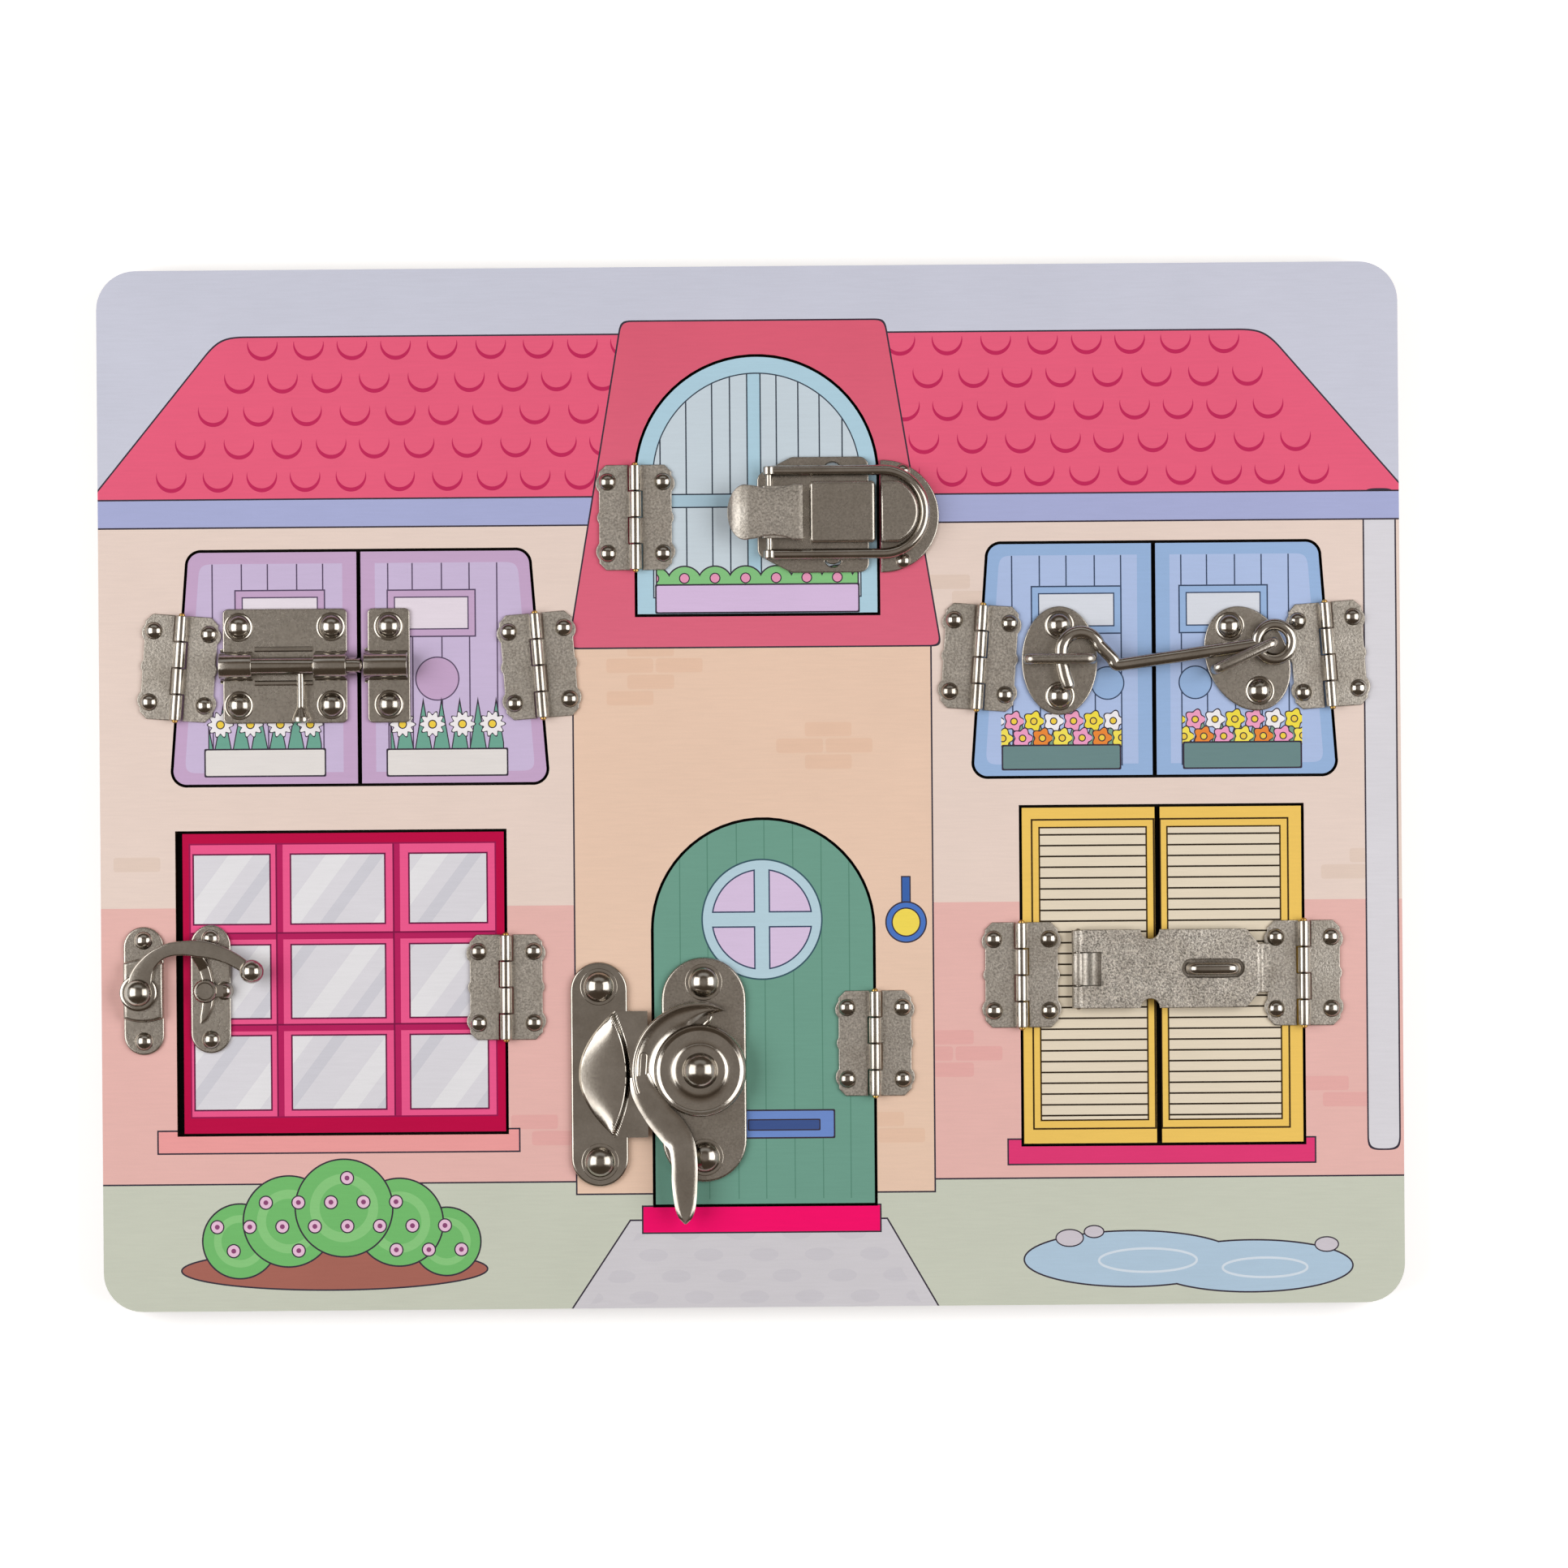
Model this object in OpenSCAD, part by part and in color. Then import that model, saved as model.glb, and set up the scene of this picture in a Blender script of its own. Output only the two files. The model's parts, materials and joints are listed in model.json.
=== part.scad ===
// A play board shaped like a house front: nine hinged panels held by six kinds of latch.
// The board lies on its back. X runs to the right, Y up the house, and Z out of its face.
// All lengths are in millimetres, from the middle of the board's back.

/* [Board] */
// Width of the board
board_w = 400; // [396:1:440]
// Height of the board
board_h = 320; // [310:1:360]
// Radius of the board's corners
corner_r = 12; // [4:1:20]
// Thickness of the front sheet, which the panels are cut from
front_t = 6; // [5.5:0.5:8]
// Thickness of the backing sheet
back_t = 6; // [3:0.5:8]

/* [Cut gaps] */
// Gap cut around each panel
panel_gap = 0.9; // [0.6:0.1:1.3]
// Gap between the two shutters of an upper pair
pair_gap = 1.3; // [1.2:0.1:2.2]
// Gap between the two louvred shutters
louvre_gap = 1.6; // [1.5:0.1:2.2]
// Wider gap on the latch side of the window
window_latch_gap = 2.2; // [1.2:0.1:3]
// Space left behind a closed panel
rear_gap = 0.3; // [0.2:0.1:0.8]
// Corner radius of the shutters in the upper floor
shutter_r = 5; // [2:0.5:8]

/* [Attic door] */
// Width of the attic opening
attic_w = 75.5; // [70:0.5:80]
// Height of the attic opening, up to the top of its arch
attic_h = 80.6; // [72:0.5:84]
// Centre of the attic opening, across
attic_x = 2.6; // [0:0.1:6]
// Distance from the board's top down to the attic opening's foot
attic_down = 107.6; // [104:0.1:112]
// Height of the attic hinge's middle above the opening's foot
attic_hinge_up = 30.6; // [26:0.1:36]

/* [Upper shutters] */
// Height of the shutter openings
shutter_h = 73; // [66:0.5:76]
// Width of the lilac opening along its foot
lilac_foot_w = 117.2; // [112:0.2:120]
// Width of the lilac opening along its top
lilac_top_w = 106; // [100:0.2:111]
// Distance from the board's left side to where the two lilac shutters meet
lilac_in = 80; // [77:0.5:82]
// Foot of the lilac opening, above the board's middle
lilac_y = 1.1; // [0.5:0.1:4]
// Height of the lilac hinges' middle above the opening's foot
lilac_hinge_up = 36.7; // [33:0.1:41]
// Width of the blue opening along its foot
blue_foot_w = 113.4; // [108:0.2:118]
// Width of the blue opening along its top
blue_top_w = 102.8; // [97:0.2:107]
// Distance from the board's right side to where the two blue shutters meet
blue_in = 75.7; // [74:0.1:79]
// Foot of the blue opening, above the board's middle
blue_y = 1.8; // [0.5:0.1:4]
// Height of the blue hinges' middle above the opening's foot
blue_hinge_up = 37.4; // [34:0.1:40]

/* [Window] */
// Width of the window opening
window_w = 101.9; // [96:0.5:105]
// Height of the window opening
window_h = 93.9; // [90:0.5:98]
// Distance from the board's left side to the window opening
window_in = 23; // [22:0.1:25]
// Height of the window opening's foot above the board's foot
window_up = 53.8; // [51:0.1:57]
// Height of the window hinge's middle above the opening's foot
window_hinge_up = 45.2; // [41:0.1:49]

/* [Front door] */
// Width of the door opening
door_w = 69.1; // [64:0.1:72]
// Height of the door opening, up to the top of its arch
door_h = 119.7; // [114:0.1:124]
// Centre of the door opening, across
door_x = 3.55; // [2:0.05:6]
// Height of the door opening's foot above the board's foot
door_up = 30.9; // [27:0.1:35]
// Height of the door hinge's middle above the opening's foot
door_hinge_up = 50; // [45:0.1:55]

/* [Louvred shutters] */
// Width of the louvred opening
louvre_w = 87.6; // [84:0.2:91]
// Height of the louvred opening
louvre_h = 105; // [98:0.5:110]
// Distance from the board's right side to the louvred opening
louvre_in = 30; // [28:0.1:33]
// Height of the louvred opening's foot above the board's foot
louvre_up = 48.7; // [46:0.1:54]
// Width of the left louvred shutter's share of the opening
louvre_split = 42.5; // [40:0.1:46]
// Height of the louvred hinges' middle above the opening's foot
louvre_hinge_up = 52.8; // [48:0.1:57]

/* [Hinges] */
// Width of one leaf, from the pin's axis
leaf_w = 12.2; // [11:0.1:13]
// Height of a leaf
leaf_h = 32.4; // [30:0.2:36]
// Thickness of a leaf
leaf_t = 0.8; // [0.6:0.1:1]
// Outer diameter of the knuckles
knuckle_d = 3.7; // [3.4:0.1:4.2]
// Diameter of the pin
pin_d = 1.9; // [1.5:0.1:2.1]
// How far the pin stands out of the knuckles at each end
pin_end = 0.8; // [0.4:0.1:1.2]
// Distance from the pin's axis to the rivets
leaf_rivet_x = 8.5; // [7.5:0.1:9]
// Distance of the rivets above and below the hinge's middle
leaf_rivet_y = 11; // [10:0.1:12]

/* [Rivets] */
// Diameter of a hinge rivet's dome
hinge_dome = 5.4; // [4.6:0.1:6]
// Diameter of a bolt or hook rivet's dome
plate_dome = 6.8; // [6:0.1:7.2]
// Diameter of a clasp rivet's dome
clasp_dome = 5.6; // [5:0.1:6.4]
// Diameter of a sash lock rivet's dome
sash_dome = 9.4; // [8:0.1:10.4]
// Diameter of the flush rivets hidden under the straps
flush_head = 4.6; // [4:0.1:5.2]
// Diameter of the rivets' shanks
shank_d = 2.6; // [2:0.1:3.2]
// Depth of the shanks in the wood
shank_depth = 4.5; // [3.5:0.1:4.8]

/* [Clearances] */
// Radial clearance of a shank in its hole
shank_fit = 0.05; // [0.02:0.01:0.1]
// Radial clearance of a pin or rod that turns or slides
running_fit = 0.05; // [0.02:0.01:0.1]
// Clearance between faces that pass each other
pass_gap = 0.35; // [0.25:0.05:0.6]

/* [Barrel bolt] */
// Thickness of the bolt's plates
bolt_t = 1; // [0.8:0.1:1.4]
// Width of the bolt plate
bolt_w = 38.2; // [36:0.2:42]
// Height of the bolt plate and its keeper
bolt_h = 35.2; // [32:0.2:38]
// Distance from the shutters' meeting line to the bolt plate's near edge
bolt_inset = 3.6; // [2.5:0.1:5]
// Height of the bolt's axis above the lilac opening's foot
bolt_up = 37.1; // [35:0.1:40]
// Diameter of the rod
rod_d = 5.5; // [4.8:0.1:6]
// Diameter of the rod's thinner tip
rod_tip_d = 4.4; // [3.6:0.1:4.8]
// Wall of the arches that hold the rod
arch_wall = 1.2; // [0.8:0.1:1.5]
// Length of each arch along the rod
arch_len = 10; // [8:0.2:11]
// Diameter of the knob's stem
knob_stem_d = 2.3; // [1.8:0.1:3]
// Diameter of the knob's head
knob_head_d = 5.4; // [4.6:0.1:6]
// Reach of the knob from the rod's axis
knob_reach = 17.6; // [15:0.2:18]
// Free travel of the knob between its rest and the right arch
knob_throw = 2.9; // [2.5:0.1:4]
// Width of the keeper plate
keeper_w = 13; // [11:0.2:14]
// Distance from the meeting line to the keeper plate
keeper_inset = 2.7; // [2:0.1:4]

/* [Toggle latch] */
// Height of the latch's middle above the attic opening's foot
toggle_up = 31.6; // [28:0.1:36]
// Distance from the attic opening's right side back to the lever's pin
toggle_pin_inset = 26.1; // [24:0.1:28]
// Distance between the lever's pin and the bail's pin
bail_offset = 7.8; // [7:0.1:8.4]
// Height of the lever's pin above the face
toggle_pin_h = 5.4; // [5.2:0.1:6.5]
// Height of the bail above the face
bail_h = 4.6; // [4.4:0.1:5.2]
// Diameter of the bail's wire
bail_d = 2.6; // [2:0.1:3]
// Half the distance between the bail's two arms
bail_half = 12.8; // [12:0.1:14]
// Width of the lever
lever_w = 17.6; // [15:0.2:18]
// Reach of the lever from its pin
lever_reach = 20.3; // [18:0.1:24]
// Thickness of the latch's sheet
toggle_t = 1.2; // [1:0.1:1.4]
// Width of the raised cover and of the boss
cover_w = 18.8; // [16:0.2:19.4]
// Height of the cover and of the boss above their plates
cover_h = 6; // [5:0.2:7]
// Length of the boss
boss_len = 11.5; // [10:0.1:12]
// Height of the latch's base, along the house
toggle_base_h = 35.6; // [32:0.2:38]
// Reach of the base to the left of the lever's pin
toggle_base_left = 11.5; // [10.5:0.1:12.5]
// Reach of the base to the right of the lever's pin
toggle_base_right = 22.8; // [21:0.1:23.4]
// Distance from the lever's pin to the cover
toggle_cover_in = 4.6; // [4:0.1:6]
// Diameter of the toggle latch's pins
toggle_pin_d = 1.9; // [1.5:0.1:2.2]

/* [Cabin hook] */
// Width of the oval plates
oval_w = 23.3; // [21:0.1:25]
// Height of the oval plates
oval_h = 33.4; // [31:0.1:36]
// Thickness of the oval plates
oval_t = 1; // [0.8:0.1:1.4]
// Distance from the left hinge's pin to the left plate's middle
hook_left_in = 24.5; // [24.1:0.1:26]
// Distance from the right hinge's pin to the right plate's bridge
hook_right_in = 25.7; // [25.7:0.1:27]
// Height of the plates' middle above the blue opening's foot
hook_up = 36.2; // [34:0.1:38]
// Turn of the right plate
hook_turn = 24.5; // [20:0.5:28]
// Diameter of the bridges' bars
bridge_d = 2.3; // [2:0.1:2.6]
// Distance between a bridge's legs
bridge_span = 20.2; // [18:0.1:21]
// Diameter of the hook's wire
hook_d = 2.9; // [2.4:0.1:2.9]
// Outer diameter of the hook's eye
eye_d = 13.8; // [12.8:0.1:14.4]
// Thickness of the eye's ring
eye_wire = 3.1; // [3:0.1:3.6]

/* [Swing clasp] */
// Width of the clasp's plates
clasp_w = 12.4; // [11:0.1:13]
// Height of the clasp's plates
clasp_h = 39.4; // [36:0.2:42]
// Thickness of the clasp's plates
clasp_t = 1; // [0.8:0.1:1.2]
// Distance from the window opening's side out to the arm's pivot
clasp_pivot_out = 11.2; // [10.5:0.1:12.5]
// Height of the arm's pivot above the window opening's foot
clasp_up = 44.5; // [41:0.1:48]
// Distance from the window opening's side in to the catch plate's middle
catch_in = 10.7; // [10:0.1:12]
// Height of the raised middle of the frame plate
clasp_rise = 2.2; // [1.8:0.1:3]
// Thickness of the arm
arm_t = 1.6; // [1.2:0.1:2]
// Radius of the spur that runs under the stud
spur_r = 21.2; // [20:0.1:21.6]
// Diameter of the stud's head
stud_d = 7.3; // [6.6:0.1:8]
// Diameter of the arm's ball
ball_d = 7.4; // [6:0.1:8]

/* [Sash lock] */
// Width of the lock's base
sash_w = 26; // [24:0.2:28]
// Height of the lock's base and of its keeper
sash_h = 69; // [66:0.5:72]
// Thickness of the lock's plates
sash_t = 1.5; // [1.2:0.1:2]
// Distance from the door opening's side in to the cam's pivot
sash_in = 14.9; // [14.3:0.1:16]
// Height of the cam's pivot above the door opening's foot
sash_up = 42.3; // [39:0.1:45]
// Radius of the cam's hub
hub_r = 14.2; // [13:0.1:14.4]
// Outer radius of the cam's rim
rim_r = 21; // [20.6:0.1:22]
// Thickness of the cam's rim
rim_t = 1.5; // [1.2:0.1:1.8]
// Distance from the pivot to the handle's end
handle_reach = 47; // [42:0.5:50]
// Width of the handle
handle_w = 8; // [7:0.1:9]
// Width of the keeper
sash_keeper_w = 17.6; // [17:0.2:19]
// Distance from the door opening's side out to the keeper's middle
sash_keeper_out = 16.1; // [15:0.1:17]

/* [Hasp] */
// Distance from the louvred opening's side in to the hasp's pin
hasp_in = 17.8; // [17:0.1:19]
// Height of the hasp's middle above the louvred opening's foot
hasp_up = 54.5; // [51:0.1:57]
// Width of the strap
hasp_w = 24.2; // [22:0.2:26]
// Length of the strap from its pin
hasp_len = 59; // [56:0.5:62]
// Thickness of the strap and of the fixed leaf
hasp_t = 1.2; // [1:0.1:1.4]
// Diameter of the hasp's knuckle
hasp_knuckle_d = 3.9; // [3.6:0.1:4.4]
// Distance from the pin to the slot's middle
slot_at = 41.3; // [39:0.1:43]
// Length of the slot
slot_len = 19; // [18.4:0.1:21]
// Width of the slot
slot_w = 5.5; // [4.6:0.1:6]
// Diameter of the staple's rod
staple_d = 3; // [2.6:0.1:3.4]
// Outer width of the staple
staple_w = 17.4; // [16:0.1:17.6]
// Height of the staple above the face
staple_h = 8; // [7.4:0.1:9]

/* [Hidden] */
$fn = 64;

// Places of the openings, from the board's sides
attic_y = board_h / 2 - attic_down;
lilac_x = -board_w / 2 + lilac_in;
blue_x = board_w / 2 - blue_in;
window_x = -board_w / 2 + window_in;
window_y = -board_h / 2 + window_up;
door_y = -board_h / 2 + door_up;
louvre_x = board_w / 2 - louvre_in - louvre_w;
louvre_y = -board_h / 2 + louvre_up;

// Heights
face_z = back_t + front_t;
panel_z = back_t + rear_gap;
panel_t = front_t - rear_gap;
through = 40;               // longer than any hole is deep
weld = 0.4;                 // how far two shapes of one solid run into each other
hair = 0.1;                 // the smallest gap left between two pieces
swell = 0.02;               // how far a disc stands past the slanted sides that it rounds

// Colours
wood = [0.86, 0.76, 0.62];
nickel = [0.48, 0.46, 0.43];
brass = [0.72, 0.6, 0.36];
lilac = [0.79, 0.68, 0.86];
blue = [0.63, 0.74, 0.92];
yellow = [0.95, 0.79, 0.37];
teal = [0.43, 0.65, 0.57];
pale_blue = [0.68, 0.82, 0.89];
magenta = [0.78, 0.05, 0.38];

// ---------- Small helpers ----------

function unit(v) = v / norm(v);
function turned(v, a) = [v.x * cos(a) - v.y * sin(a), v.x * sin(a) + v.y * cos(a)];

// A flat outline whose corners are rounded: the chords of a polygon, with a disc in each corner.
// Beside slanted sides the discs are a little larger, so that they cross the sides instead of only touching them.
module rounded(points, r, larger = 0) {
    n = len(points);
    function before(i) = points[(i + n - 1) % n];
    function after(i) = points[(i + 1) % n];
    function half(i) = acos(unit(before(i) - points[i]) * unit(after(i) - points[i])) / 2;
    function inward(i) = unit(unit(before(i) - points[i]) + unit(after(i) - points[i]));
    polygon([for (i = [0:n - 1]) for (side = [before(i), after(i)])
        points[i] + unit(side - points[i]) * r / tan(half(i))]);
    for (i = [0:n - 1])
        translate(points[i] + inward(i) * r / sin(half(i)))
            circle(r + larger);
}

// A disc flattened to an oval.
function oval(w, h, steps = 72) = [for (i = [0:steps - 1])
    [w / 2 * cos(i * 360 / steps), h / 2 * sin(i * 360 / steps)]];

// A strip with half-round ends, standing along Y.
module obround(w, h) {
    square([w, h - w], center = true);
    for (end = [-1, 1])
        translate([0, end * (h - w) / 2])
            circle(d = w);
}

// Part of a flat ring between two angles, under half a turn.
module ring_part(r_in, r_out, from, to) {
    far = r_out * 3;
    intersection() {
        difference() {
            circle(r_out);
            circle(r_in);
        }
        polygon([[0, 0], turned([far, 0], from), turned([far, 0], (from + to) / 2), turned([far, 0], to)]);
    }
}

// A round rod between two points, with a ball at its far end.
module rod(a, b, d) {
    along = b - a;
    translate(a)
        rotate([0, acos(along.z / norm(along)), atan2(along.y, along.x)])
            cylinder(d = d, h = norm(along));
    translate(b)
        sphere(d = d);
}

// A shallow dome on a flat foot.
module dome(d, h) {
    r = (d * d / 4 + h * h) / (2 * h);
    intersection() {
        translate([0, 0, h - r])
            sphere(r);
        cylinder(d = d + 1, h = h + 1);
    }
}

module at(place) {
    translate([place.x, place.y, place.z])
        children();
}

// ---------- Rivets ----------

// A rivet is [x, y, height of its seat, dome diameter, dome height].
function rivet(x, y, seat, d, h) = [x, y, seat, d, h];

module rivets(list) {
    color(nickel)
        for (r = list) at(r) {
            dome(r[3], r[4]);
            translate([0, 0, face_z - shank_depth - r.z])
                cylinder(d = shank_d, h = r.z - face_z + shank_depth + weld);
        }
}

module rivet_holes(list) {
    for (r = list)
        translate([r.x, r.y, face_z - shank_depth - 2 * shank_fit])
            cylinder(d = shank_d + 2 * shank_fit, h = through);
}

// ---------- Places of the hinges ----------

// Half the width of an opening with slanted sides, at a height above its foot.
function half_at(foot_w, top_w, up) = (foot_w + (top_w - foot_w) * up / shutter_h) / 2;
function slant(foot_w, top_w) = atan((foot_w - top_w) / 2 / shutter_h);

// A hinge is [x, y, turn, side of the panel].
gap_mid = panel_gap / 2;
lilac_half = half_at(lilac_foot_w, lilac_top_w, lilac_hinge_up) - gap_mid;
blue_half = half_at(blue_foot_w, blue_top_w, blue_hinge_up) - gap_mid;
lilac_hinge_y = lilac_y + lilac_hinge_up;
blue_hinge_y = blue_y + blue_hinge_up;
louvre_hinge_y = louvre_y + louvre_hinge_up;
lilac_slant = slant(lilac_foot_w, lilac_top_w);
blue_slant = slant(blue_foot_w, blue_top_w);
attic_hinge = [attic_x - attic_w / 2 + gap_mid, attic_y + attic_hinge_up, 0, 1];
lilac_left_hinge = [lilac_x - lilac_half, lilac_hinge_y, -lilac_slant, 1];
lilac_right_hinge = [lilac_x + lilac_half, lilac_hinge_y, lilac_slant, -1];
blue_left_hinge = [blue_x - blue_half, blue_hinge_y, -blue_slant, 1];
blue_right_hinge = [blue_x + blue_half, blue_hinge_y, blue_slant, -1];
window_hinge = [window_x + window_w - gap_mid, window_y + window_hinge_up, 0, -1];
door_hinge = [door_x + door_w / 2 - gap_mid, door_y + door_hinge_up, 0, -1];
yellow_left_hinge = [louvre_x + gap_mid, louvre_hinge_y, 0, 1];
yellow_right_hinge = [louvre_x + louvre_w - gap_mid, louvre_hinge_y, 0, -1];
HINGES = [attic_hinge, lilac_left_hinge, lilac_right_hinge, blue_left_hinge, blue_right_hinge,
    window_hinge, door_hinge, yellow_left_hinge, yellow_right_hinge];

hinge_dome_h = hinge_dome * 0.31;
// The two rivets of one leaf, on the panel's side or, with -1, on the frame's.
function leaf_rivets(hinge, on) = [for (up = [-1, 1])
    let (p = turned([on * hinge[3] * leaf_rivet_x, up * leaf_rivet_y], hinge[2]))
    rivet(hinge.x + p.x, hinge.y + p.y, face_z + leaf_t, hinge_dome, hinge_dome_h)];

// ---------- Places of the latches ----------

// Barrel bolt
bolt_y = lilac_y + bolt_up;
bolt_right = lilac_x - bolt_inset;
bolt_left = bolt_right - bolt_w;
bolt_z = face_z + bolt_t + running_fit + rod_d / 2;
keeper_left = lilac_x + keeper_inset;
bolt_arch_r = rod_d / 2 + running_fit + arch_wall;
bolt_rivet_x = bolt_w / 2 - 4.9;
bolt_rivet_y = bolt_h / 2 - 5.6;
plate_dome_h = plate_dome * 0.33;
bolt_rivets = [for (across = [-1, 1]) for (up = [-1, 1])
    rivet((bolt_left + bolt_right) / 2 + across * bolt_rivet_x, bolt_y + up * bolt_rivet_y,
        face_z + bolt_t, plate_dome, plate_dome_h)];
keeper_rivets = [for (up = [-1, 1])
    rivet(keeper_left + keeper_w / 2, bolt_y + up * bolt_rivet_y, face_z + bolt_t, plate_dome, plate_dome_h)];

// Toggle latch
toggle_x = attic_x + attic_w / 2 - toggle_pin_inset;
toggle_y = attic_y + toggle_up;
toggle_base_y = toggle_y - 0.6;
base_left = toggle_x - toggle_base_left;
base_right = toggle_x + toggle_base_right;
cover_left = toggle_x + toggle_cover_in;
cover_right = base_right + 1.8;
boss_left = attic_x + attic_w / 2 + 0.3;
bail_end = boss_left + boss_len + pass_gap + 0.3 + bail_d / 2;
bail_round = bail_end - bail_half;
strike_y = toggle_y - 1.2;
strike_r = bail_half + bail_d / 2 + 3.2;
flush_h = flush_head * 0.16;
toggle_rivets = [for (across = [0.25, 0.75]) for (up = [-1, 1])
    rivet(cover_left + across * (cover_right - cover_left), toggle_y + up * cover_w * 0.28,
        face_z + toggle_t, flush_head, flush_h)];
strike_rivets = [for (up = [-1, 1])
    rivet(boss_left + 6.85, strike_y + up * (strike_r - 3.6), face_z + toggle_t, flush_head, flush_h * 1.8)];

// Cabin hook
hook_y = blue_y + hook_up;
hook_left = [blue_left_hinge.x + hook_left_in, hook_y];
hook_right = [blue_right_hinge.x - hook_right_in, hook_y + 0.2];
hook_z = face_z + oval_t + plate_dome_h + pass_gap + eye_wire / 2;
bridge_z = hook_z + eye_wire / 2 + pass_gap + bridge_d / 2;
oval_rivet_y = oval_h / 2 - 5.8;
left_oval_rivets = [for (up = [-1, 1])
    rivet(hook_left.x, hook_left.y + up * oval_rivet_y, face_z + oval_t, plate_dome, plate_dome_h)];
right_oval_rivets = [for (up = [-1, 1])
    let (p = turned([0, up * oval_rivet_y], hook_turn))
    rivet(hook_right.x + p.x, hook_right.y + p.y, face_z + oval_t, plate_dome, plate_dome_h)];
// The right plate is wider than the left, all of it towards its eye's side.
right_oval_wider = 1.7;
// The bridge leg that the hook's eye turns on.
eye_at = hook_right + turned([bridge_span / 2, 0.8], hook_turn);

// Swing clasp
clasp_y = window_y + clasp_up;
clasp_at = [window_x - clasp_pivot_out, clasp_y];
clasp_plate_at = [clasp_at.x + 1.3, clasp_y + 0.4];
catch_at = [window_x + catch_in, clasp_y + 0.8];
arm_z = face_z + clasp_t + clasp_rise + pass_gap;
clasp_dome_h = clasp_dome * 0.33;
clasp_rivet_y = clasp_h / 2 - 4.2;
clasp_plate_rivets = [for (up = [-1, 1])
    rivet(clasp_plate_at.x, clasp_plate_at.y + up * clasp_rivet_y, face_z + clasp_t, clasp_dome, clasp_dome_h)];
catch_rivets = [for (up = [-1, 1])
    rivet(catch_at.x, catch_at.y + up * clasp_rivet_y, face_z + clasp_t, clasp_dome, clasp_dome_h)];

// Sash lock
sash_at = [door_x - door_w / 2 + sash_in, door_y + sash_up];
sash_base_x = sash_at.x + 1.2;
sash_keeper_at = [door_x - door_w / 2 - sash_keeper_out, sash_at.y - 1.2];
sash_dome_h = sash_dome * 0.3;
sash_rivet_y = sash_h / 2 - 7.6;
sash_base_rivets = [for (up = [-1, 1])
    rivet(sash_base_x, sash_at.y + up * sash_rivet_y, face_z + sash_t, sash_dome, sash_dome_h)];
sash_keeper_rivets = [for (up = [-1, 1])
    rivet(sash_keeper_at.x, sash_keeper_at.y + up * sash_rivet_y, face_z + sash_t, sash_dome, sash_dome_h)];
tongue_top = face_z + sash_t + 1.5;
rim_low = tongue_top + pass_gap;
web_z = rim_low + 1.6;
web_t = 1.5;
lip_r = hub_r + 0.8;
handle_z = face_z + sash_t + sash_dome_h + pass_gap;

// Hasp
hasp_x = louvre_x + hasp_in;
hasp_y = louvre_y + hasp_up;
louvre_mid = louvre_x + louvre_split;
strap_z = face_z + hasp_t + flush_h + pass_gap;
hasp_pin_z = face_z + hasp_knuckle_d / 2 + hair;
hasp_leaf_len = 20;
staple_x = hasp_x + slot_at;
hasp_rivets = [for (across = [0.55, 0.82]) for (up = [-1, 1])
    rivet(hasp_x + across * hasp_leaf_len, hasp_y + up * hasp_w * 0.28, face_z + hasp_t, flush_head, flush_h)];
staple_rivets = [for (up = [-1, 1])
    rivet(staple_x, hasp_y + up * 6.2, face_z + hasp_t, flush_head, flush_h)];

// ---------- Rivets of each body ----------

function all_leaf_rivets(on) = [for (h = HINGES) each leaf_rivets(h, on)];
FRAME_RIVETS = concat(all_leaf_rivets(-1), strike_rivets, clasp_plate_rivets, sash_keeper_rivets);
ATTIC_RIVETS = concat(leaf_rivets(attic_hinge, 1), toggle_rivets);
LILAC_LEFT_RIVETS = concat(leaf_rivets(lilac_left_hinge, 1), bolt_rivets);
LILAC_RIGHT_RIVETS = concat(leaf_rivets(lilac_right_hinge, 1), keeper_rivets);
BLUE_LEFT_RIVETS = concat(leaf_rivets(blue_left_hinge, 1), left_oval_rivets);
BLUE_RIGHT_RIVETS = concat(leaf_rivets(blue_right_hinge, 1), right_oval_rivets);
WINDOW_RIVETS = concat(leaf_rivets(window_hinge, 1), catch_rivets);
DOOR_RIVETS = concat(leaf_rivets(door_hinge, 1), sash_base_rivets);
YELLOW_LEFT_RIVETS = concat(leaf_rivets(yellow_left_hinge, 1), hasp_rivets);
YELLOW_RIGHT_RIVETS = concat(leaf_rivets(yellow_right_hinge, 1), staple_rivets);

// ---------- Outlines of the openings, drawn in by a gap ----------

// An arch: a rectangle under a half disc.
module arch_outline(x, y, w, h, gap) {
    r = w / 2 - gap;
    spring = h - w / 2;
    translate([x, y]) {
        translate([-r, gap])
            square([2 * r, spring - gap]);
        translate([0, spring])
            circle(r);
    }
}

// Both shutters of a pair with slanted outer sides.
module shutter_outline(x, y, foot_w, top_w, gap) {
    side = gap / cos(slant(foot_w, top_w));
    foot = half_at(foot_w, top_w, gap) - side;
    top = half_at(foot_w, top_w, shutter_h - gap) - side;
    translate([x, y])
        rounded([[-foot, gap], [foot, gap], [top, shutter_h - gap], [-top, shutter_h - gap]],
            shutter_r - gap, swell);
}

module box_outline(x, y, w, h, gap) {
    translate([x + gap, y + gap])
        square([w - 2 * gap, h - 2 * gap]);
}

// Keeps what lies on one side of a meeting line, less half the gap between the shutters.
module half_of(x, side, gap) {
    intersection() {
        children();
        translate([x + side * (gap / 2 + board_w / 2), 0])
            square([board_w, board_h], center = true);
    }
}

module panel(rivet_list) {
    difference() {
        translate([0, 0, panel_z])
            linear_extrude(panel_t)
                children();
        rivet_holes(rivet_list);
    }
}

// ---------- The sheets ----------

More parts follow.
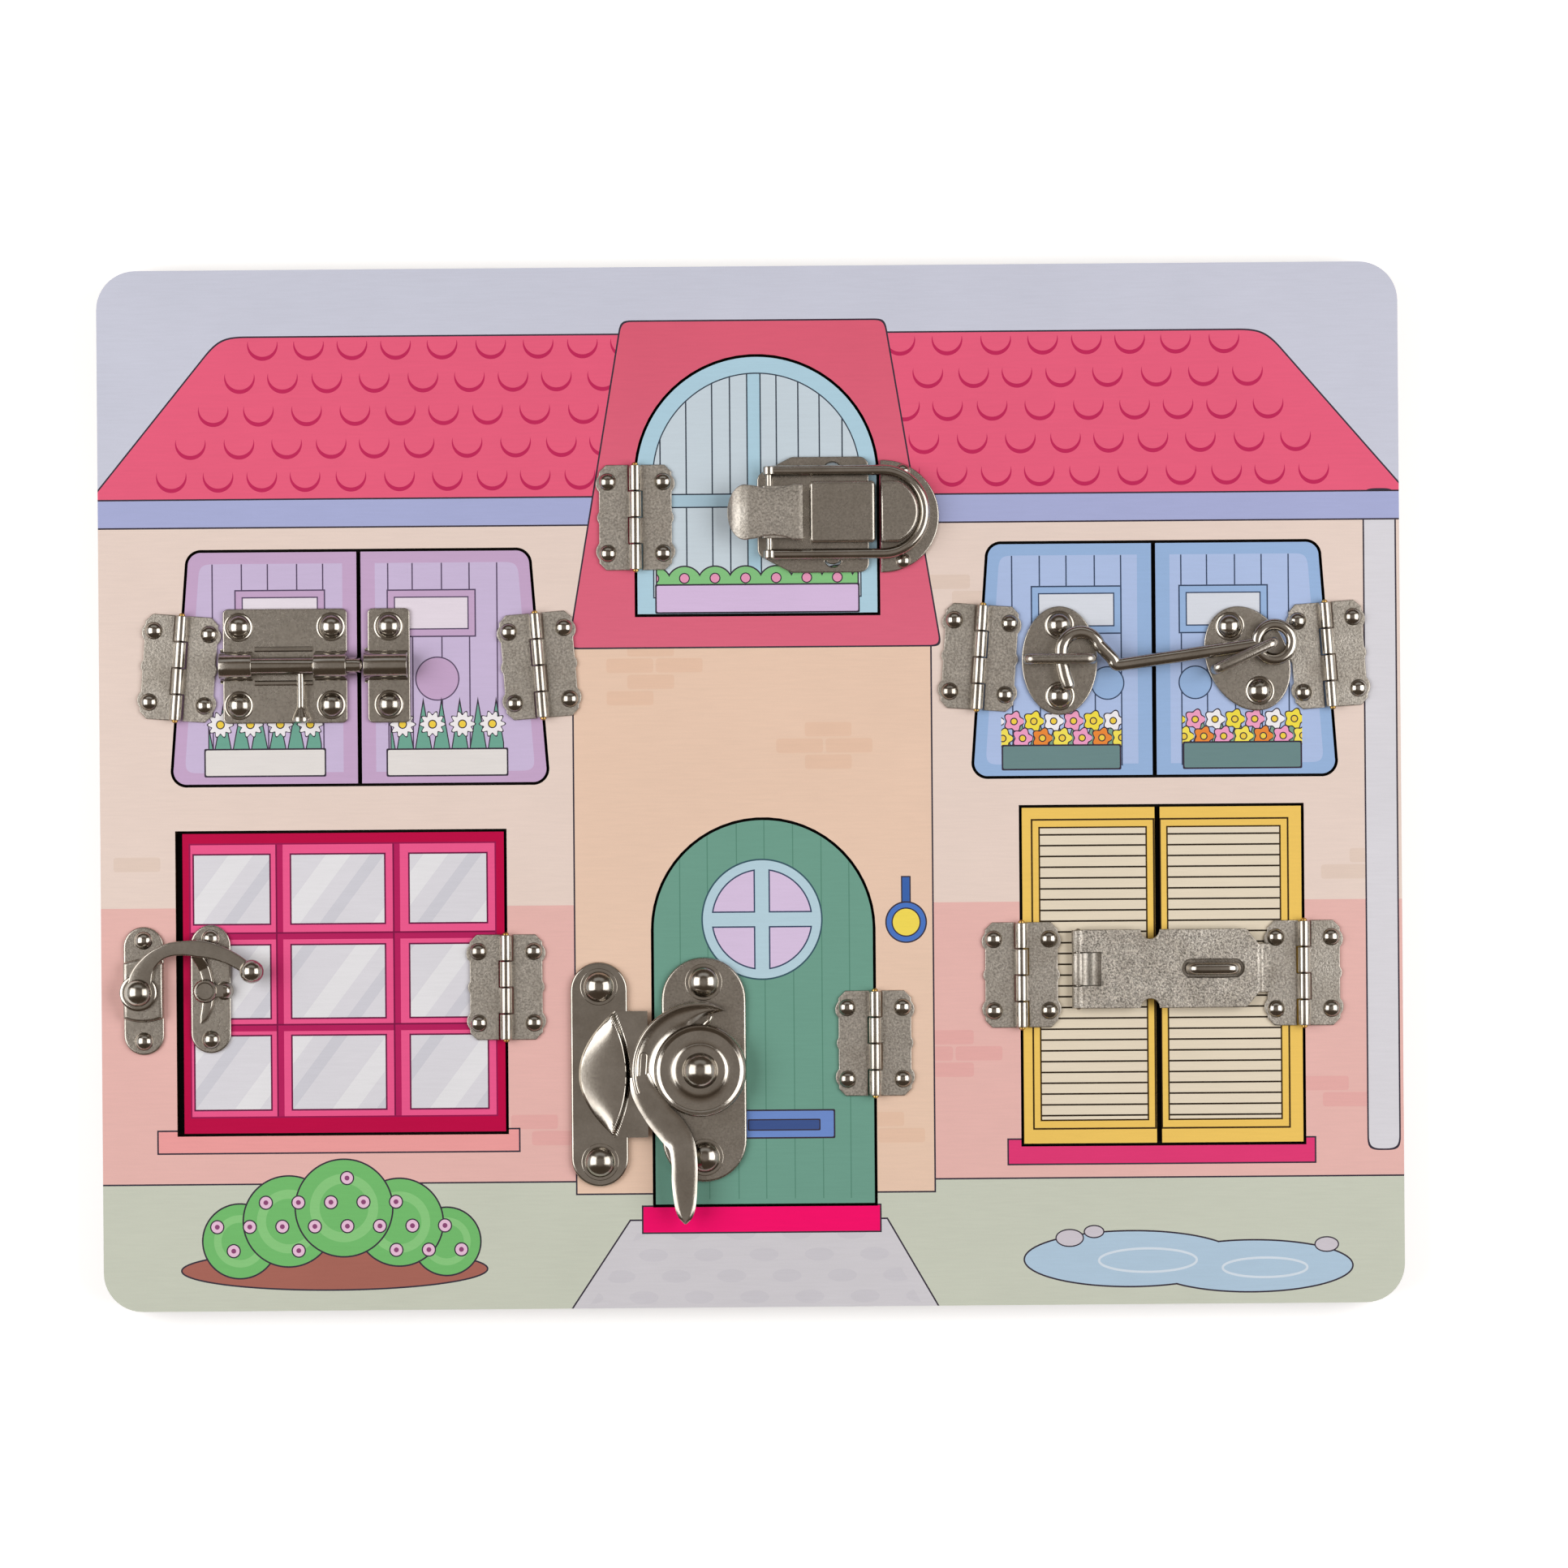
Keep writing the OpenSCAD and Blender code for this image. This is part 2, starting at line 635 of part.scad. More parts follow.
module sheet(t) {
    linear_extrude(t)
        rounded([[-board_w, -board_h] / 2, [board_w, -board_h] / 2, [board_w, board_h] / 2,
            [-board_w, board_h] / 2], corner_r);
}

module backing_panel() {
    color(wood)
        sheet(back_t);
}

module front_panel() {
    color(wood)
        difference() {
            translate([0, 0, back_t])
                sheet(front_t);
            translate([0, 0, back_t - 1])
                linear_extrude(front_t + 2) {
                    arch_outline(attic_x, attic_y, attic_w, attic_h, 0);
                    shutter_outline(lilac_x, lilac_y, lilac_foot_w, lilac_top_w, 0);
                    shutter_outline(blue_x, blue_y, blue_foot_w, blue_top_w, 0);
                    box_outline(window_x, window_y, window_w, window_h, 0);
                    arch_outline(door_x, door_y, door_w, door_h, 0);
                    box_outline(louvre_x, louvre_y, louvre_w, louvre_h, 0);
                }
            rivet_holes(FRAME_RIVETS);
        }
}

// ---------- The nine panels ----------

module attic_door() {
    color(pale_blue)
        panel(ATTIC_RIVETS)
            arch_outline(attic_x, attic_y, attic_w, attic_h, panel_gap);
}

module lilac_shutter(side, rivet_list) {
    color(lilac)
        panel(rivet_list)
            half_of(lilac_x, side, pair_gap)
                shutter_outline(lilac_x, lilac_y, lilac_foot_w, lilac_top_w, panel_gap);
}

module blue_shutter(side, rivet_list) {
    color(blue)
        panel(rivet_list)
            half_of(blue_x, side, pair_gap)
                shutter_outline(blue_x, blue_y, blue_foot_w, blue_top_w, panel_gap);
}

module pink_window() {
    latch_side = window_latch_gap - panel_gap;
    color(magenta)
        panel(WINDOW_RIVETS)
            box_outline(window_x + latch_side, window_y, window_w - latch_side, window_h, panel_gap);
}

module front_door() {
    color(teal)
        panel(DOOR_RIVETS)
            arch_outline(door_x, door_y, door_w, door_h, panel_gap);
}

module yellow_shutter(side, rivet_list) {
    color(yellow)
        panel(rivet_list)
            half_of(louvre_mid, side, louvre_gap)
                box_outline(louvre_x, louvre_y, louvre_w, louvre_h, panel_gap);
}

// ---------- Hinges ----------

knuckle_z = knuckle_d / 2 + hair;
leaf_clear = knuckle_z + 2 * hair;
knuckle_len = leaf_h / 4;

module on_hinge(hinge) {
    translate([hinge.x, hinge.y, face_z])
        rotate(hinge[2])
            scale_side(hinge[3])
                children();
}

// Turns a hinge drawn with its panel to the right so that its panel is on the given side.
module scale_side(side) {
    mirror([side < 0 ? 1 : 0, 0, 0])
        children();
}

// The flat of a leaf: a plate with bulges by its rivets and a small peak between them.
module leaf_outline() {
    plate_w = leaf_w - 1.3;
    cut = 1.6;
    difference() {
        translate([leaf_clear, -leaf_h / 2])
            square([plate_w - leaf_clear, leaf_h]);
        for (up = [-1, 1])
            translate([plate_w, up * leaf_h / 2])
                rotate(45)
                    square(cut * sqrt(2), center = true);
    }
    for (up = [-1, 1])
        translate([leaf_rivet_x, up * leaf_rivet_y])
            circle(leaf_w - leaf_rivet_x);
    translate([plate_w - 2.2, 0])
        circle(2.9);
}

// A leaf to the right of its pin. Knuckles first and first + 2 of the four are its own.
module leaf(first) {
    difference() {
        union() {
            linear_extrude(leaf_t)
                leaf_outline();
            for (i = [first, first + 2])
                translate([0, -leaf_h / 2 + i * knuckle_len + hair, 0]) {
                    cube([leaf_clear + weld, knuckle_len - 2 * hair, leaf_t]);
                    translate([0, 0, knuckle_z])
                        rotate([-90, 0, 0])
                            cylinder(d = knuckle_d, h = knuckle_len - 2 * hair);
                }
        }
        translate([0, 0, knuckle_z])
            rotate([90, 0, 0])
                cylinder(d = pin_d + 2 * running_fit, h = through * 2, center = true);
    }
}

module door_leaf(hinge) {
    color(nickel)
        difference() {
            on_hinge(hinge)
                leaf(1);
            rivet_holes(leaf_rivets(hinge, 1));
        }
}

module hinge_leaves_frame() {
    color(nickel)
        for (hinge = HINGES)
            difference() {
                on_hinge(hinge)
                    mirror([1, 0, 0])
                        leaf(0);
                rivet_holes(leaf_rivets(hinge, -1));
            }
}

module hinge_pins() {
    color(brass)
        for (hinge = HINGES)
            on_hinge(hinge)
                translate([0, 0, knuckle_z])
                    rotate([90, 0, 0])
                        cylinder(d = pin_d, h = leaf_h + 2 * pin_end, center = true);
}

// ---------- Barrel bolt ----------

// A half-round arch over the bolt's axis, from x along +X.
module bolt_arch(x, length, bore) {
    translate([x, bolt_y, bolt_z])
        rotate([0, 90, 0])
            difference() {
                union() {
                    cylinder(r = bolt_arch_r, h = length);
                    translate([0, -bolt_arch_r, 0])
                        cube([bolt_z - face_z - bolt_t / 2, 2 * bolt_arch_r, length]);
                }
                translate([0, 0, -1])
                    cylinder(d = bore, h = length + 2);
                translate([bolt_z - face_z, -through / 2, -1])
                    cube([through, through, length + 2]);
            }
}

module bolt_sheet(x, w) {
    translate([x + w / 2, bolt_y, face_z])
        linear_extrude(bolt_t)
            rounded([[-w, -bolt_h] / 2, [w, -bolt_h] / 2, [w, bolt_h] / 2, [-w, bolt_h] / 2], 1.5);
}

module bolt_plate() {
    bore = rod_d + 2 * running_fit;
    color(nickel)
        difference() {
            union() {
                bolt_sheet(bolt_left, bolt_w);
                bolt_arch(bolt_left - 0.8, arch_len, bore);
                bolt_arch(bolt_right - arch_len, arch_len, bore);
            }
            rivet_holes(bolt_rivets);
        }
}

knob_x = bolt_right - arch_len - knob_throw - knob_stem_d / 2;
rod_tip_x = keeper_left - 0.9 - pass_gap;
rod_shoulder_x = bolt_right - knob_throw;
rod_tail_x = bolt_left + 3;

module bolt_rod() {
    head_h = 4.4;
    tip_round = rod_tip_d / 2;
    color(nickel)
        translate([0, bolt_y, bolt_z]) {
            translate([rod_tail_x, 0, 0])
                rotate([0, 90, 0])
                    cylinder(d = rod_d, h = rod_shoulder_x - rod_tail_x);
            rod([rod_shoulder_x - weld, 0, 0], [rod_tip_x - tip_round, 0, 0], rod_tip_d);
            translate([knob_x, 0, 0])
                rotate([90, 0, 0]) {
                    cylinder(d = knob_stem_d, h = knob_reach - head_h / 2);
                    translate([0, 0, knob_reach - head_h])
                        cylinder(d1 = knob_stem_d, d2 = knob_head_d, h = head_h - 1.2);
                    translate([0, 0, knob_reach - 1.2])
                        cylinder(d = knob_head_d, h = 1.2);
                }
        }
}

module bolt_keeper() {
    color(nickel)
        difference() {
            union() {
                bolt_sheet(keeper_left, keeper_w);
                bolt_arch(keeper_left - 0.9, keeper_w + 0.3, rod_tip_d + 8 * running_fit);
            }
            rivet_holes(keeper_rivets);
        }
}

// ---------- Toggle latch ----------

toggle_pin_z = face_z + toggle_pin_h;
bail_z = face_z + bail_h;
bail_pin_x = toggle_x - bail_offset;
lever_top = toggle_pin_h + 3.4;
ear_r = toggle_pin_d / 2 + 1;
ear_y = lever_w / 2 - 3.6;
flange_y = lever_w / 2 - 1.4;

module cross_pin(x, z, d, length) {
    translate([x, toggle_y, z])
        rotate([90, 0, 0])
            cylinder(d = d, h = length, center = true);
}

module toggle_base() {
    cut = 7;
    r = 3;
    h = toggle_base_h;
    color(nickel)
        difference() {
            union() {
                translate([0, toggle_base_y, face_z])
                    linear_extrude(toggle_t)
                        difference() {
                            rounded([[base_left, -h / 2 + cut], [base_left + cut, -h / 2], [base_right, -h / 2],
                                [base_right, h / 2], [base_left + cut, h / 2], [base_left, h / 2 - cut]], r, swell);
                            for (up = [-1, 1])
                                translate([(toggle_x + base_right) / 2 + 0.2, up * (h / 2 - 3)])
                                    half_moon(up);
                        }
                for (up = [-1, 1])
                    translate([toggle_x, toggle_y + up * ear_y, 0])
                        rotate([90, 0, 0])
                            translate([0, 0, -toggle_t / 2])
                                linear_extrude(toggle_t) {
                                    translate([0, toggle_pin_z])
                                        circle(ear_r);
                                    translate([-ear_r, face_z + toggle_t / 2])
                                        square([ear_r + 0.1, toggle_pin_h - toggle_t / 2]);
                                }
            }
            cross_pin(toggle_x, toggle_pin_z, toggle_pin_d + 2 * running_fit, through);
            rivet_holes(toggle_rivets);
        }
}

// A small half-moon pressed through the base's edge.
module half_moon(up) {
    intersection() {
        translate([0, -up * 2])
            circle(2.8);
        translate([0, up * 1.3])
            square([6, 2.6], center = true);
    }
}

module raised_shell(h) {
    difference() {
        linear_extrude(h)
            children();
        translate([0, 0, -1])
            linear_extrude(h + 1 - toggle_t)
                intersection() {
                    children();
                    translate([-toggle_t, 0]) children();
                    translate([toggle_t, 0]) children();
                    translate([0, -toggle_t]) children();
                    translate([0, toggle_t]) children();
                }
    }
}

module toggle_cover() {
    color(nickel)
        translate([0, toggle_y, face_z + toggle_t])
            raised_shell(cover_h)
                translate([(cover_left + cover_right) / 2, 0])
                    rounded([for (c = [[-1, -1], [1, -1], [1, 1], [-1, 1]])
                        [c.x * (cover_right - cover_left) / 2, c.y * cover_w / 2]], 1);
}

// The lever's top: waisted, with a broad round end for the thumb.
module lever_outline() {
    end_r = 12.5;
    left = toggle_x - lever_reach;
    right = toggle_x + 2.4;
    waist_r = 30;
    difference() {
        intersection() {
            translate([left, -lever_w / 2])
                square([right - left, lever_w]);
            union() {
                translate([left + end_r, 0])
                    circle(end_r);
                translate([left + end_r * 0.7, -lever_w / 2])
                    square([right - left, lever_w]);
            }
        }
        for (up = [-1, 1])
            translate([toggle_x - 6.5, up * (lever_w / 2 - 0.7 + waist_r)])
                circle(waist_r, $fn = 180);
    }
}

module toggle_lever() {
    flange_left = bail_pin_x - 2.2;
    color(nickel)
        difference() {
            union() {
                translate([0, toggle_y, face_z + lever_top - toggle_t])
                    linear_extrude(toggle_t)
                        lever_outline();
                for (up = [-1, 1])
                    translate([0, toggle_y + up * flange_y - toggle_t / 2, 0]) {
                        translate([flange_left, 0, bail_z - 1.6])
                            cube([toggle_x - flange_left, toggle_t, face_z + lever_top - bail_z + 1.2]);
                        translate([toggle_x, 0, toggle_pin_z])
                            rotate([-90, 0, 0])
                                cylinder(r = 2.3, h = toggle_t);
                        translate([toggle_x - weld, 0, toggle_pin_z])
                            cube([2.3, toggle_t, face_z + lever_top - toggle_pin_z - weld]);
                    }
            }
            cross_pin(toggle_x, toggle_pin_z, toggle_pin_d + 2 * running_fit, through);
            cross_pin(bail_pin_x, bail_z, toggle_pin_d + 2 * running_fit, through);
        }
}

module toggle_lever_pin() {
    color(nickel)
        cross_pin(toggle_x, toggle_pin_z, toggle_pin_d, 2 * flange_y + toggle_t + 1);
}

module toggle_bail_pin() {
    color(nickel)
        cross_pin(bail_pin_x, bail_z, toggle_pin_d, 2 * bail_half + bail_d);
}

// A wire loop: two arms with eyes on the bail's pin, and a half-round end past the boss.
module toggle_bail() {
    color(nickel)
        difference() {
            translate([0, toggle_y, bail_z]) {
                translate([bail_round, 0, 0])
                    rotate(-90)
                        rotate_extrude(angle = 180)
                            translate([bail_half, 0])
                                circle(d = bail_d);
                for (up = [-1, 1]) {
                    translate([bail_pin_x, up * bail_half, 0]) {
                        rotate([0, 90, 0])
                            cylinder(d = bail_d, h = bail_round - bail_pin_x);
                        rotate([90, 0, 0])
                            cylinder(d = toggle_pin_d + 1.8, h = bail_d, center = true);
                    }
                }
            }
            cross_pin(bail_pin_x, bail_z, toggle_pin_d + 2 * running_fit, through);
        }
}

// The boss that the bail goes round: flat on the door's side and round on the other.
module boss_outline() {
    r = cover_w / 2;
    intersection() {
        translate([boss_left, -r])
            square([boss_len, 2 * r]);
        translate([boss_left + boss_len - r - 0.8, 0])
            circle(r + 0.8);
    }
}

module toggle_strike() {
    color(nickel)
        difference() {
            union() {
                translate([0, strike_y, face_z])
                    linear_extrude(toggle_t)
                        intersection() {
                            translate([bail_round, 0])
                                circle(strike_r);
                            translate([boss_left, -through])
                                square([through * 2, through * 2]);
                        }
                translate([0, toggle_y, face_z + toggle_t - weld])
                    linear_extrude(cover_h + weld)
                        boss_outline();
            }
            rivet_holes(strike_rivets);
        }
}

// ---------- Cabin hook ----------

// An oval plate with a bar standing over it on two legs. The wider plate's extra width lies to its right.
module oval_plate(place, turn, wider, bar_shift, rivet_list) {
    color(nickel)
        difference() {
            union() {
                translate([place.x + wider / 2, place.y, face_z])
                    rotate(turn)
                        linear_extrude(oval_t)
                            polygon(oval(oval_w + wider, oval_h));
                translate([place.x, place.y, 0])
                    rotate(turn)
                        bridge(bar_shift);
            }
            rivet_holes(rivet_list);
        }
}

module bridge(shift) {
    left = [-bridge_span / 2, shift, bridge_z];
    right = [bridge_span / 2, shift, bridge_z];
    for (top = [left, right])
        rod([top.x, top.y, face_z + oval_t - weld], top, bridge_d);
    rod(left, right, bridge_d);
}

module hook_plate_left() {
    oval_plate(hook_left, 0, 0, 0.4, left_oval_rivets);
}

module hook_plate_right() {
    oval_plate(hook_right, hook_turn, right_oval_wider, 0.8, right_oval_rivets);
}

// The hook: an eye, a straight shank, a corner, a round crook and a straight tip under the left bridge.
crook_r = 5.9;
corner_bend = 3.2;
tip_bend = 4;
crook_at = [hook_left.x + 0.4 + crook_r, hook_left.y + 2.7];
hook_corner = [crook_at.x + 11.5, crook_at.y - 4.3];
hook_bend = crook_at - [crook_r, 5.4];
hook_tip = [crook_at.x - crook_r + 2, crook_at.y - 10.4];

function direction(angle) = [cos(angle), sin(angle)];
function angle_of(v) = atan2(v.y, v.x);
function within_half_turn(angle) = angle - 360 * round(angle / 360);
// How much of its two straights a bend takes up.
function bend_share(turn, r) = r * tan(abs(turn) / 2);

// Where the straight from the corner meets the crook, as an angle about the crook's middle.
crook_from = angle_of(hook_corner - crook_at) + acos(crook_r / norm(hook_corner - crook_at));
shank_angle = angle_of(hook_corner - eye_at);
rise_angle = crook_from + 90;
corner_turn = within_half_turn(rise_angle - shank_angle);
tip_angle = angle_of(hook_tip - hook_bend);
tip_turn = within_half_turn(tip_angle + 90);

// Bends are a hair thicker than the straights, which run a little way into them.
module bent(middle, from, sweep, r) {
    translate([middle.x, middle.y, hook_z])
        rotate(from)
            rotate_extrude(angle = sweep)
                translate([r, 0])
                    circle(d = hook_d + hair);
}

module straight(from, to) {
    bite = hair * unit(to - from);
    start = from - bite;
    translate([start.x, start.y, hook_z])
        rotate([0, 90, angle_of(to - from)])
            cylinder(d = hook_d, h = norm(to + bite - start));
}

module cabin_hook() {
    eye_mid = (eye_d - eye_wire) / 2;
    at_corner = bend_share(corner_turn, corner_bend);
    at_tip = bend_share(tip_turn, tip_bend);
    color(nickel) {
        translate([eye_at.x, eye_at.y, hook_z])
            rotate_extrude()
                translate([eye_mid, 0])
                    circle(d = eye_wire);
        straight(eye_at + eye_mid * direction(shank_angle), hook_corner - at_corner * direction(shank_angle));
        bent(hook_corner + unit(direction(rise_angle) - direction(shank_angle)) * corner_bend / cos(corner_turn / 2),
            rise_angle + 90, -corner_turn, corner_bend);
        straight(hook_corner + at_corner * direction(rise_angle), crook_at + crook_r * direction(crook_from));
        bent(crook_at, crook_from, 180 - crook_from, crook_r);
        straight(crook_at - [crook_r, 0], hook_bend + [0, at_tip]);
        bent(hook_bend + [tip_bend, at_tip], 180, tip_turn, tip_bend);
        straight(hook_bend + at_tip * direction(tip_angle), hook_tip);
    }
}

// ---------- Swing clasp ----------

raised_from = -9.6;
raised_to = 9.9;
pivot_d = 3;

module clasp_plate() {
    wall = clasp_t;
    low = clasp_plate_at.y + raised_from;
    high = clasp_plate_at.y + raised_to;
    left = clasp_plate_at.x - clasp_w / 2;
    color(nickel)
        difference() {
            union() {
                translate([clasp_plate_at.x, clasp_plate_at.y, face_z])
                    linear_extrude(clasp_t)
                        obround(clasp_w, clasp_h);
                translate([left, low, face_z])
                    cube([clasp_w, high - low, clasp_t + clasp_rise]);
            }
            translate([left - 1, low + wall, face_z - 1])
                cube([clasp_w + 2, high - low - 2 * wall, clasp_rise + 1]);
            translate([clasp_at.x, clasp_at.y, 0])
                cylinder(d = pivot_d + 2 * running_fit, h = through);
            rivet_holes(clasp_plate_rivets);
        }
}

module clasp_pivot() {
    collar_z = arm_z + arm_t + hair;
    color(nickel)
        translate([clasp_at.x, clasp_at.y, 0]) {
            translate([0, 0, face_z])
                cylinder(d = pivot_d, h = collar_z - face_z + weld);
            translate([0, 0, face_z])
                cylinder(d = pivot_d + 3, h = clasp_rise);
            translate([0, 0, collar_z])
                dome(7.3, 2.9);
        }
}

// Distances of the arm's two arcs from its pivot, and of the ball.
neck_at = [12.7, 1.2];
neck_r = 12.3;
reach_at = [15.2, -15.3];
reach_r = 28.9;
ball_at = [34.9, 6.3];
arm_w = 4;

module clasp_arm() {
    spur_w = 2.2;
    spur_z = face_z + clasp_t + pass_gap;
    spur_t = 1.2;
    color(nickel)
        difference() {
            translate([clasp_at.x, clasp_at.y, 0]) {
                translate([0, 0, arm_z])
                    linear_extrude(arm_t) {
                        circle(d = 11.4);
                        translate(neck_at)
                            ring_part(neck_r - arm_w / 2, neck_r + arm_w / 2, 88, 166);
                        translate(reach_at)
                            ring_part(reach_r - arm_w / 2, reach_r + arm_w / 2, 48, 96);
                        ring_part(spur_r - spur_w / 2, spur_r + spur_w / 2, 22, 34);
                    }
                translate([0, 0, spur_z]) {
                    linear_extrude(spur_t)
                        ring_part(spur_r - spur_w / 2, spur_r + spur_w / 2, -27, 26);
                    linear_extrude(arm_z - spur_z + weld)
                        ring_part(spur_r - spur_w / 2, spur_r + spur_w / 2, 22, 26);
                }
                translate([ball_at.x, ball_at.y, arm_z + arm_t / 2 + 0.6])
                    sphere(d = ball_d);
            }
            translate([clasp_at.x, clasp_at.y, 0])
                cylinder(d = pivot_d + 2 * running_fit, h = through);
        }
}

// The catch: a plate with a stud. The stud's flat head hangs over the spur from a foot beside it.
module clasp_catch() {
    head_t = 1.3;
    head_z = face_z + clasp_t + 2 * pass_gap + 1.2;
    head_at = [clasp_at.x + spur_r - 0.8, clasp_at.y + 0.3];
    foot_d = 5.3;
    neck_w = 3.6;
    foot_x = clasp_at.x + spur_r + 2.2 + foot_d / 2;
    color(nickel)
        difference() {
            union() {
                translate([catch_at.x, catch_at.y, face_z])
                    linear_extrude(clasp_t)
                        obround(clasp_w, clasp_h);
                translate([foot_x, head_at.y, face_z + clasp_t - weld])
                    cylinder(d1 = foot_d, d2 = neck_w, h = head_z + head_t - face_z - clasp_t + weld - hair);
                translate([head_at.x, head_at.y - neck_w / 2 + hair, head_z + hair])
                    cube([foot_x - head_at.x, neck_w - 2 * hair, head_t - 3 * hair]);
                translate([head_at.x, head_at.y, head_z])
                    cylinder(d = stud_d, h = head_t);
            }
            rivet_holes(catch_rivets);
        }
}

// ---------- Sash lock ----------

sash_pin_d = 5;

module sash_base() {
    color(nickel)
        difference() {
            translate([sash_base_x, sash_at.y, face_z])
                linear_extrude(sash_t)
                    obround(sash_w, sash_h);
            rivet_holes(sash_base_rivets);
            translate([sash_at.x, sash_at.y, 0])
                cylinder(d = sash_pin_d + 2 * running_fit, h = through);
        }
}

module sash_pivot() {
    top_z = web_z + web_t + hair;
    color(nickel)
        translate([sash_at.x, sash_at.y, 0]) {
            translate([0, 0, face_z])
                cylinder(d = sash_pin_d, h = top_z - face_z + weld);
            translate([0, 0, top_z])
                dome(11, 3.6);
        }
}

// The cam from above: a crescent about its pivot, its tip at the top and an S-shaped handle at the foot.
module cam_outline() {
    inner = rim_r - 7.5;
    difference() {
        union() {
            ring_part(inner, rim_r, 66, 150);
            ring_part(inner, rim_r, 148, 236);
        }
        ring_part(hub_r + 1.8, rim_r - rim_t - 0.4, 158, 202);
    }
}

// The handle and the neck that joins it to the crescent, from above.
module handle_outline() {
    hand_x = -4.8;
    end_y = -handle_reach + handle_w / 2;
    neck_y = -21.5;
    polygon([[hand_x - handle_w / 2, end_y], [hand_x + handle_w / 2, end_y], [hand_x + handle_w / 2, neck_y],
        [hand_x + 0.6, -hub_r - 0.6], [-hub_r + 1.5, -hub_r + 3], [-rim_r + 3, -hub_r + 0.6],
        [-hub_r - 0.6, -18.6], [-11, -22.4], [hand_x - handle_w / 2 + 0.4, -27.5]]);
    translate([hand_x, end_y])
        circle(d = handle_w);
}

module sash_cam() {
    hub_z = face_z + sash_t + hair;
    handle_t = 1.8;
    curl = [2.2, hub_r + 0.4];
    color(nickel)
        difference() {
            translate([sash_at.x, sash_at.y, 0]) {
                translate([0, 0, hub_z])
                    cylinder(r1 = hub_r, r2 = 7.8, h = web_z + web_t - hub_z);
                translate([0, 0, web_z])
                    linear_extrude(web_t) {
                        cam_outline();
                        circle(hub_r - 0.4);
                    }
                translate([0, 0, rim_low])
                    linear_extrude(web_z - rim_low + weld) {
                        ring_part(rim_r - rim_t, rim_r, 66, 150);
                        ring_part(rim_r - rim_t, rim_r, 148, 215);
                    }
                translate([curl.x, curl.y, web_z + web_t - weld])
                    cylinder(d = 2.4, h = weld + 0.7);
                translate([0, 0, max(web_z, handle_z)])
                    linear_extrude(handle_t)
                        handle_outline();
            }
            translate([sash_at.x, sash_at.y, 0])
                cylinder(d = sash_pin_d + 2 * running_fit, h = through);
        }
}

// The keeper: an obround plate whose arched tongue runs to the right, under the cam's rim.
module sash_keeper() {
    arch_w = 16;
    arch_rise = 4.2;
    arch_r = (arch_w * arch_w / 4 + arch_rise * arch_rise) / (2 * arch_rise);
    arch_x = sash_keeper_at.x + 0.4;
    tongue_end = sash_at.x - lip_r;
    lip_t = 1;
    shell = 1.4;
    root = 18.4;
    tip = 8;
    module plan() {
        translate([arch_x + 2.6, 0])
            polygon(oval(21.4, 2 * root));
        translate([arch_x, -tip])
            square([tongue_end - arch_x, 2 * tip]);
    }
    color(nickel)
        difference() {
            union() {
                translate([sash_keeper_at.x, sash_keeper_at.y, face_z])
                    linear_extrude(sash_t)
                        obround(sash_keeper_w, sash_h);
                intersection() {
                    translate([0, sash_keeper_at.y, face_z])
                        linear_extrude(through)
                            plan();
                    union() {
                        difference() {
                            translate([arch_x, sash_keeper_at.y, face_z + sash_t + arch_rise - arch_r])
                                rotate([90, 0, 0])
                                    cylinder(r = arch_r, h = 2 * root + 2, center = true, $fn = 96);
                            translate([arch_x, sash_keeper_at.y, face_z + sash_t + arch_rise - arch_r])
                                rotate([90, 0, 0])
                                    cylinder(r = arch_r - shell, h = 2 * root + 4, center = true, $fn = 96);
                        }
                        translate([arch_x + arch_w / 2 - 2.6, sash_keeper_at.y - root, tongue_top - shell])
                            cube([through, 2 * root, shell]);
                        translate([tongue_end - lip_t, sash_keeper_at.y - root, tongue_top - weld])
                            cube([lip_t, 2 * root, web_z - pass_gap - tongue_top + weld]);
                    }
                }
            }
            rivet_holes(sash_keeper_rivets);
        }
}

// ---------- Hasp ----------

hasp_bore = pin_d + 2 * running_fit;
hasp_knuckle = [-hasp_w / 2, -5.1, 5.1, hasp_w / 2];

module hasp_barrel(from, to) {
    translate([hasp_x, hasp_y + from + hair, hasp_pin_z])
        rotate([-90, 0, 0])
            cylinder(d = hasp_knuckle_d, h = to - from - 2 * hair);
}

module hasp_bore_cut() {
    translate([hasp_x, hasp_y, hasp_pin_z])
        rotate([90, 0, 0])
            cylinder(d = hasp_bore, h = through, center = true);
}

module hasp_leaf() {
    color(nickel)
        difference() {
            union() {
                translate([hasp_x + hasp_knuckle_d / 2 + 0.4, hasp_y - hasp_w / 2 + 1.2, face_z])
                    cube([hasp_leaf_len - hasp_knuckle_d / 2 - 0.4, hasp_w - 2.4, hasp_t]);
                translate([hasp_x, hasp_y + hasp_knuckle[1] + hair, face_z])
                    cube([hasp_leaf_len / 2, hasp_knuckle[2] - hasp_knuckle[1] - 2 * hair, hasp_t]);
                hasp_barrel(hasp_knuckle[1], hasp_knuckle[2]);
            }
            hasp_bore_cut();
            rivet_holes(hasp_rivets);
        }
}

module hasp_pin() {
    color(nickel)
        translate([hasp_x, hasp_y, hasp_pin_z])
            rotate([90, 0, 0])
                cylinder(d = pin_d, h = hasp_w + 0.8, center = true);
}

